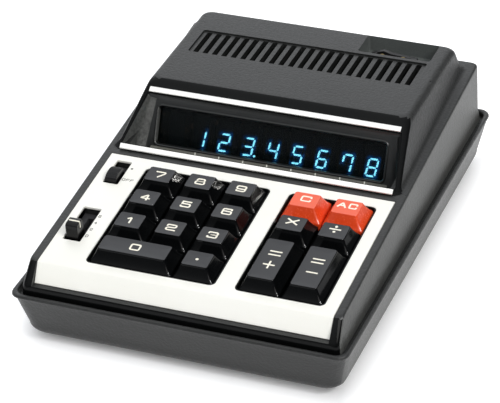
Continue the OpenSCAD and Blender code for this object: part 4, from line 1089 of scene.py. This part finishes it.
# %% Key legends
SIGN_W, SIGN_H, STROKE = 4.8, 4.3, 0.8
PROUD, ROOT = 0.035, -0.25
SIGNS = {
    "0": [[(0, 0), (1, 0), (1, 1), (0, 1), (0, 0)]],
    "1": [[(0.22, 0.74), (0.55, 1), (0.55, 0)]],
    "2": [[(0, 0.80), (0, 1), (1, 1), (1, 0.54), (0, 0.46), (0, 0), (1, 0)]],
    "3": [[(0, 0.84), (0, 1), (1, 1), (1, 0.52), (0.35, 0.52)], [(0.35, 0.52), (1, 0.52), (1, 0), (0, 0), (0, 0.16)]],
    "4": [[(0.74, 0), (0.74, 1), (0, 0.28), (1, 0.28)]],
    "5": [[(0.96, 1), (0.06, 1)], [(0.06, 1), (0.03, 0.58)], [(0.03, 0.58), (1, 0.58), (1, 0), (0, 0), (0, 0.15)]],
    "6": [[(0.94, 0.86), (0.94, 1), (0, 1), (0, 0), (1, 0), (1, 0.56), (0, 0.56)]],
    "7": [[(0, 1), (1, 1), (1, 0.78), (0.4, 0)]],
    "8": [[(0.08, 0.53), (0.92, 0.53), (0.92, 1), (0.08, 1), (0.08, 0.53)],
          [(0, 0), (1, 0), (1, 0.53), (0, 0.53), (0, 0)]],
    "9": [[(0.06, 0.14), (0.06, 0), (1, 0), (1, 1), (0, 1), (0, 0.44), (1, 0.44)]],
    "C": [[(1, 0.78), (1, 1), (0, 1), (0, 0), (1, 0), (1, 0.22)]],
    "A": [[(0, 0), (0.5, 1), (1, 0)], [(0.2, 0.34), (0.8, 0.34)]],
    "times": [[(0, 0), (1, 1)], [(0, 1), (1, 0)]],
    "minus": [[(0, 0.5), (1, 0.5)]],
    "plus": [[(0, 0.5), (1, 0.5)], [(0.5, 0), (0.5, 1)]],
    "equals": [[(0, 0.74), (1, 0.74)], [(0, 0.26), (1, 0.26)]],
}
LEGENDS = {f"key_{d}": [(str(d), 0, 0.3, SIGN_W, SIGN_H)] for d in range(10)}
LEGENDS |= {
    "key_multiply": [("times", -0.1, 1.3, 5.3, 3.8)], "key_divide": [("minus", 0.1, 1.3, 5.2, 4.0)],
    "key_plus_equals": [("equals", 0.4, 4.3, 5.5, 5.6), ("plus", 0.4, -3.5, 5.2, 5.0)],
    "key_minus_equals": [("equals", 0.4, 4.3, 5.5, 5.6), ("minus", 0.4, -3.5, 5.2, 5.0)],
    "key_clear_entry": [("C", 0.1, 1.1, 4.9, 3.9)],
    "key_all_clear": [("A", -2.6, 1.4, 4.1, 3.7), ("C", 2.3, 1.4, 3.9, 3.7)],
    "key_point": [],
}
DOTS = {"key_point": [(-0.3, 0.0, 0.7)], "key_divide": [(0.1, 3.0, 0.65), (0.1, -0.4, 0.65)]}


def rounded_path(points, r=0.2):
    """Every inner corner of a polyline is replaced by a short curve; a closed one is rounded at its start too."""
    p = np.array(points, float)
    closed = np.allclose(p[0], p[-1])
    if closed:
        p = np.concatenate([[(p[0] + p[1]) / 2], p[1:], [(p[0] + p[1]) / 2]])
    before, after = p[:-2] - p[1:-1], p[2:] - p[1:-1]
    reach = np.minimum(r, 0.5 * np.minimum(np.linalg.norm(before, axis=1), np.linalg.norm(after, axis=1)))[:, None]
    a, b = p[1:-1] + unit(before) * reach, p[1:-1] + unit(after) * reach
    t = np.linspace(0, 1, 6)[None, :, None]
    curve = (1 - t) ** 2 * a[:, None] + 2 * t * (1 - t) * p[1:-1][:, None] + t ** 2 * b[:, None]
    path = curve.reshape(-1, 2)
    return (path if closed else np.concatenate([p[:1], path, p[-1:]])), closed


def ribbon(path, closed, width, lift):
    """A flat bar along a path in mm: left and right edges lie half a width along the path's normal; the ends of
    an open path are drawn out by half a width."""
    if not closed:
        tips = path[[0, -1]] - path[[1, -2]]
        path = path.copy()
        path[[0, -1]] += unit(tips) * width / 2
    along = np.roll(path, -1, 0) - np.roll(path, 1, 0) if closed else np.gradient(path, axis=0)
    along /= np.linalg.norm(along, axis=1)[:, None] + 1e-9
    side = np.stack([-along[:, 1], along[:, 0]], -1) * width / 2
    left, right_edge = path + side, path - side
    rows = [lift(left, PROUD), lift(right_edge, PROUD), lift(right_edge, ROOT), lift(left, ROOT)]
    return loft(np.stack(rows, 1), close=closed)


def legend_skin(name):
    """All strokes and dots of one key, on its dished crown."""
    x, s, half_w, half_d = key_place(name)

    def lift(p, n):
        return laid(p + [x, s], DECK, KEY_RISE - key_dish(*p.T, half_w, half_d) + n)

    skins = []
    for sign, dx, ds, w, h in LEGENDS[name]:
        for stroke in SIGNS[sign]:
            path, closed = rounded_path(stroke)
            skins.append(ribbon((path - 0.5) * [w - STROKE, h - STROKE] + [dx, ds], closed, STROKE, lift))
    for dx, ds, r in DOTS.get(name, []):
        skins.append(loft([lift(dot(dx, ds, r), n) for n in (ROOT, PROUD)]))
    return gather(skins)


for name in KEYS:
    make(f"{name}_legend", legend_skin(name), "legend", body=name, slot="key_black")
print(len(KEYS), "legends")

# %% [markdown]
# ## Slide switches
# The power slide is a low thumb piece with cross ribs. The decimal selector is a finger tab on a
# flat sole, with a pale index line over its crest. Both are a section in the deck's plane drawn
# across the slot, with softened edges. The slot floors are the switch bodies of the solids.

# %% Slide switches
SOLE_N = -(DECK_UNDER + 0.4) + 0.3
POWER_REST, POWER_LEN, POWER_RISE, RIBS, RIB_H = 64.08, 8.8, 3.0, 9, 0.16
DECIMAL_REST, DECIMAL_LEN, DECIMAL_RISE = 21.65, 7.5, 7.0


def shifted(profile, s):
    """A section moved s up the deck."""
    return np.asarray(profile, float) + [s, 0]


def slid(profile, half_w):
    """A section drawn across the slot's own middle."""
    points, faces = across(profile, half_w, DECK)
    return points + [SLIDE_X, 0, 0], faces


u = np.linspace(-1, 1, 41)
barrel = POWER_RISE * (0.35 + 0.65 * np.sqrt(1 - 0.92 * u ** 2)) + RIB_H * np.cos(u * RIBS * np.pi)
power_section = np.concatenate([[(-POWER_LEN / 2, SOLE_N)], np.stack([u * POWER_LEN / 2, barrel], -1),
                                [(POWER_LEN / 2, SOLE_N)]])
power = make("power_slide_knob", slid(shifted(power_section, POWER_REST), 2.7), "knob_plastic", body="power_slider",
             replaces=["power_slider"], smooth=50)
soften(power, 0.3, 3, 50)
sole_half, sole_top = DECIMAL_LEN / 2, SOLE_N + 1.6
sole_section = [(-sole_half, SOLE_N), (sole_half, SOLE_N), (sole_half, sole_top), (-sole_half, sole_top)]
sole = make("decimal_slide_sole", slid(shifted(sole_section, DECIMAL_REST), 3.8), "knob_plastic",
            body="decimal_slider", replaces=["decimal_slider"])
tab_section = [(-3.6, SOLE_N + 1.5), (3.7, SOLE_N + 1.5), (2.75, DECIMAL_RISE - 1), (2.3, DECIMAL_RISE - 0.3),
               (1.6, DECIMAL_RISE), (-2.2, DECIMAL_RISE), (-2.9, DECIMAL_RISE - 0.3), (-3.3, DECIMAL_RISE - 1)]
tab = make("decimal_slide_tab", slid(shifted(tab_section, DECIMAL_REST), 2.8), "knob_plastic", body="decimal_slider")
soften(sole, 0.2)
soften(tab, 0.45, 3)
INDEX_HALF, INDEX_DOWN = 0.38, 3.2
outer_x, outer_n = [-2.2, 2.3, 2.62, 2.78, 2.83, 2.83], [0.03, 0.03, -0.05, -0.2, -0.5, -INDEX_DOWN]
inner_x, inner_n = [-2.2, 2.1, 2.3, 2.4, 2.45, 2.45], [-0.3, -0.3, -0.4, -0.5, -0.8, -INDEX_DOWN]
index_x, index_n = SLIDE_X + np.array(outer_x + inner_x[::-1]), DECIMAL_RISE + np.array(outer_n + inner_n[::-1])
index_rings = [DECK.at(index_x, DECIMAL_REST + e, index_n) for e in (-INDEX_HALF, INDEX_HALF)]
make("decimal_slide_index", loft(index_rings), "legend", body="decimal_slider", slot="knob_plastic")
print("slides made")

# %% [markdown]
# ## Marks on the plate
# Four small figures stand beside the decimal slot, and a dot and the word OFF beside the power
# slot. They are printed, so their ribbons stand only a few hundredths above the enamel.

# %% Marks on the plate
MARK_X, MARK_S, MARK_PITCH = -53.0, 21.4, 4.7
WORD_X, WORD_S, LETTER_PITCH = -53.6, 63.0, 1.9
MARK_H, MARK_STROKE = 1.7, 0.3


def printed(sign, x, s, w):
    """A sign from the same table as the legends, laid on the deck's plane."""
    def lift(p, n):
        return laid(p + [x, s], DECK, n)
    paths = [rounded_path(p) for p in SIGNS[sign]]
    inner = [w - MARK_STROKE, MARK_H - MARK_STROKE]
    return [ribbon((path - 0.5) * inner, closed, MARK_STROKE, lift) for path, closed in paths]


SIGNS |= {"F": [[(0, 0), (0, 1), (1, 1)], [(0, 0.52), (0.8, 0.52)]], "O": SIGNS["0"]}
marks = []
for i, sign in enumerate("0246"):
    marks += printed(sign, MARK_X, MARK_S + MARK_PITCH * i, 1.3)
for i, letter in enumerate("OFF"):
    marks += printed(letter, WORD_X + LETTER_PITCH * i, WORD_S, 1.5)
marks.append(prism(dot(-53.1, 71.2, 0.6), DECK, -0.2, PROUD))
make("plate_marks", gather(marks), "mark", slot="face_enamel")
print(len(marks), "printed strokes")

# %% [markdown]
# ## Inlet, feet and screws
# The pocket at the rear corner holds a black inlet: a block whose top rises to a hump and falls off
# to the right, hollowed for the pins, with a low shoulder beside it. The feet are turned shapes with
# a rounded tread. Screws and pins keep their solids.

# %% Inlet, feet and screws
BLOCK_W, BLOCK_D, BLOCK_H = 22.0, 9.0, 5.4
x0, y0, z0 = inlet_low
hump = np.array([(0, 0), (BLOCK_W, 0), (BLOCK_W, BLOCK_H - 2.0), (9.5, BLOCK_H - 1.0), (6.0, BLOCK_H),
                 (3.2, BLOCK_H - 0.8), (0, BLOCK_H - 2.2)])
hump_rings = [TABLE.at(x0 + hump[:, 0], y, z0 + hump[:, 1]) for y in (y0, y0 + BLOCK_D)]
inlet = make("inlet_block", loft(hump_rings), "inlet_black", slot="switch_plastic", replaces=["power_inlet"])
carve(inlet, prism(rounded(x0 + 2.5, x0 + BLOCK_W - 2.5, y0 + 3, y0 + BLOCK_D - 2, 0.8, 4), TABLE, z0 + 1.5, z0 + 9))
shoulder_outline = rounded(x0 + BLOCK_W - 0.5, x0 + BLOCK_W + 7, y0, y0 + 6, 0.6, 3)
shoulder = make("inlet_shoulder", prism(shoulder_outline, TABLE, z0, z0 + 2.8), "inlet_black", slot="switch_plastic")
for piece in (inlet, shoulder):
    soften(piece, 0.25)
FOOT_R, FOOT_X, FOOT_Y = 6.0, 58.0, 69.0
foot_section = [(0.2, 0.25), (3.2, 0.25), (3.5, 0.0), (4.6, 0.0), (5.0, 0.15), (5.3, 0.5), (FOOT_R - 0.1, 2.2),
                (FOOT_R, FOOT_H), (5.2, FOOT_H + 0.6), (0.2, FOOT_H + 0.6)]
feet = [(x, y) for x in (-FOOT_X, FOOT_X) for y in (-FOOT_Y, FOOT_Y)]
make("rubber_foot_set", gather([lathe(foot_section, at, TABLE) for at in feet]), "rubber", replaces=["rubber_feet"])
print(len(feet), "feet")

# %% [markdown]
# ## Floor and light
# The object stands on a plain pale floor. A broad sun from the front right gives the shape, a narrow
# one from the right the small lights on edges, and a third, which only glossy surfaces mirror, the
# glints at the keys' corners. The surrounding is dim, with a pale lobe overhead, one behind and one
# in front. Together they light a level surface to about the colour it is painted. The camera sees
# the floor lifted to white, except close round the object, where the contact shadow stays.

# %% Floor and light
FLOOR_SIZE, FLOOR_DOWN, FLOOR_LIFT = 12000.0, -0.02, 0.45
floor_outline = np.array([(-1, -1), (1, -1), (1, 1), (-1, 1)]) * FLOOR_SIZE
paper = Finish("floor_paper")
fibre = paper.noise(paper.coords(), 220, 4.0)
ray = paper.node("ShaderNodeLightPath", out="Is Camera Ray")
side = paper.node("ShaderNodeSeparateXYZ", {}, {"Vector": paper.coords()})
rims = ((side, RIM_X * MM), (side.out("Y"), RIM_Y * MM))
beside, before = (axis.maths("ABSOLUTE", axis, 0.0) - reach for axis, reach in rims)
away = beside.maths("MAXIMUM", beside, before)
share = paper.node("ShaderNodeMapRange", {}, {"Value": away, "From Min": -0.006, "From Max": 0.004,
                                              "To Min": 0.25, "To Max": 1.0})
seen = ray + 0.5 * ray.out("Is Glossy Ray") + ray.out("Is Transmission Ray")
shown = paper.blend(share * seen, (0, 0, 0, 1), (1, 1, 1, 1))
paper.surface(Base_Color=paper.blend(fibre, (0.93, 0.93, 0.935, 1), (0.96, 0.96, 0.965, 1)),
              Roughness=0.8 + 0.1 * fibre, Specular_IOR_Level=0.1, Emission_Color=shown, Emission_Strength=FLOOR_LIFT)
FINISH["floor_paper"] = paper.material
floor_mesh = bpy.data.meshes.new("floor")
floor_mesh.from_pydata((laid(floor_outline, TABLE, FLOOR_DOWN) * MM).tolist(), [], [[0, 1, 2, 3]])
floor_mesh.materials.append(paper.material)
floor = bpy.data.objects.new("floor", floor_mesh)
bpy.context.scene.collection.objects.link(floor)

studio = Finish("studio", bpy.data.worlds, "Background")
bpy.context.scene.world = studio.material
toward = studio.node("ShaderNodeTexCoord", out="Generated")
REAR, FORE, SPARK = (-0.32, 0.775, 0.543), (-0.3, -0.55, 0.78), (0.66, -0.20, 0.72)


def facing(direction):
    """How far a ray points along a direction, from 0 to 1."""
    along = studio.node("ShaderNodeVectorMath", {"operation": "DOT_PRODUCT"},
                        {0: toward, 1: direction}, out="Value")
    return studio.node("ShaderNodeClamp", {}, {"Value": along})


overhead, rear_wall, front_wall = facing((0, 0, 1)), facing(REAR), facing(FORE)
studio.fill(studio.shader, {"Color": (0.95, 0.97, 1.0, 1),
                            "Strength": 0.12 + 0.6 * overhead ** 3 + 1.5 * rear_wall ** 8 + 0.85 * front_wall ** 4})


def lamp(name, direction, strength, angle, colour=(1.0, 1.0, 1.0)):
    """A sun of wide angle: parallel on average, so the floor is lit evenly, with soft shadows."""
    data = bpy.data.lights.new(name, "SUN")
    data.energy = strength
    data.angle = math.radians(angle)
    data.color = colour
    obj = bpy.data.objects.new(name, data)
    out = unit(np.array(direction))
    side = unit(np.cross([0, 0, 1.0], out))
    stand(obj, side, np.cross(out, side), out)
    return obj


lamp("softbox", (0.55, -0.50, 0.67), 0.95, 35, (1.0, 0.985, 0.96))
lamp("spark", SPARK, 0.75, 9)
lamp("glint", SPARK, 1.8, 5).visible_diffuse = False
bpy.context.scene.view_settings.view_transform = "Standard"
print("floor and light ready")
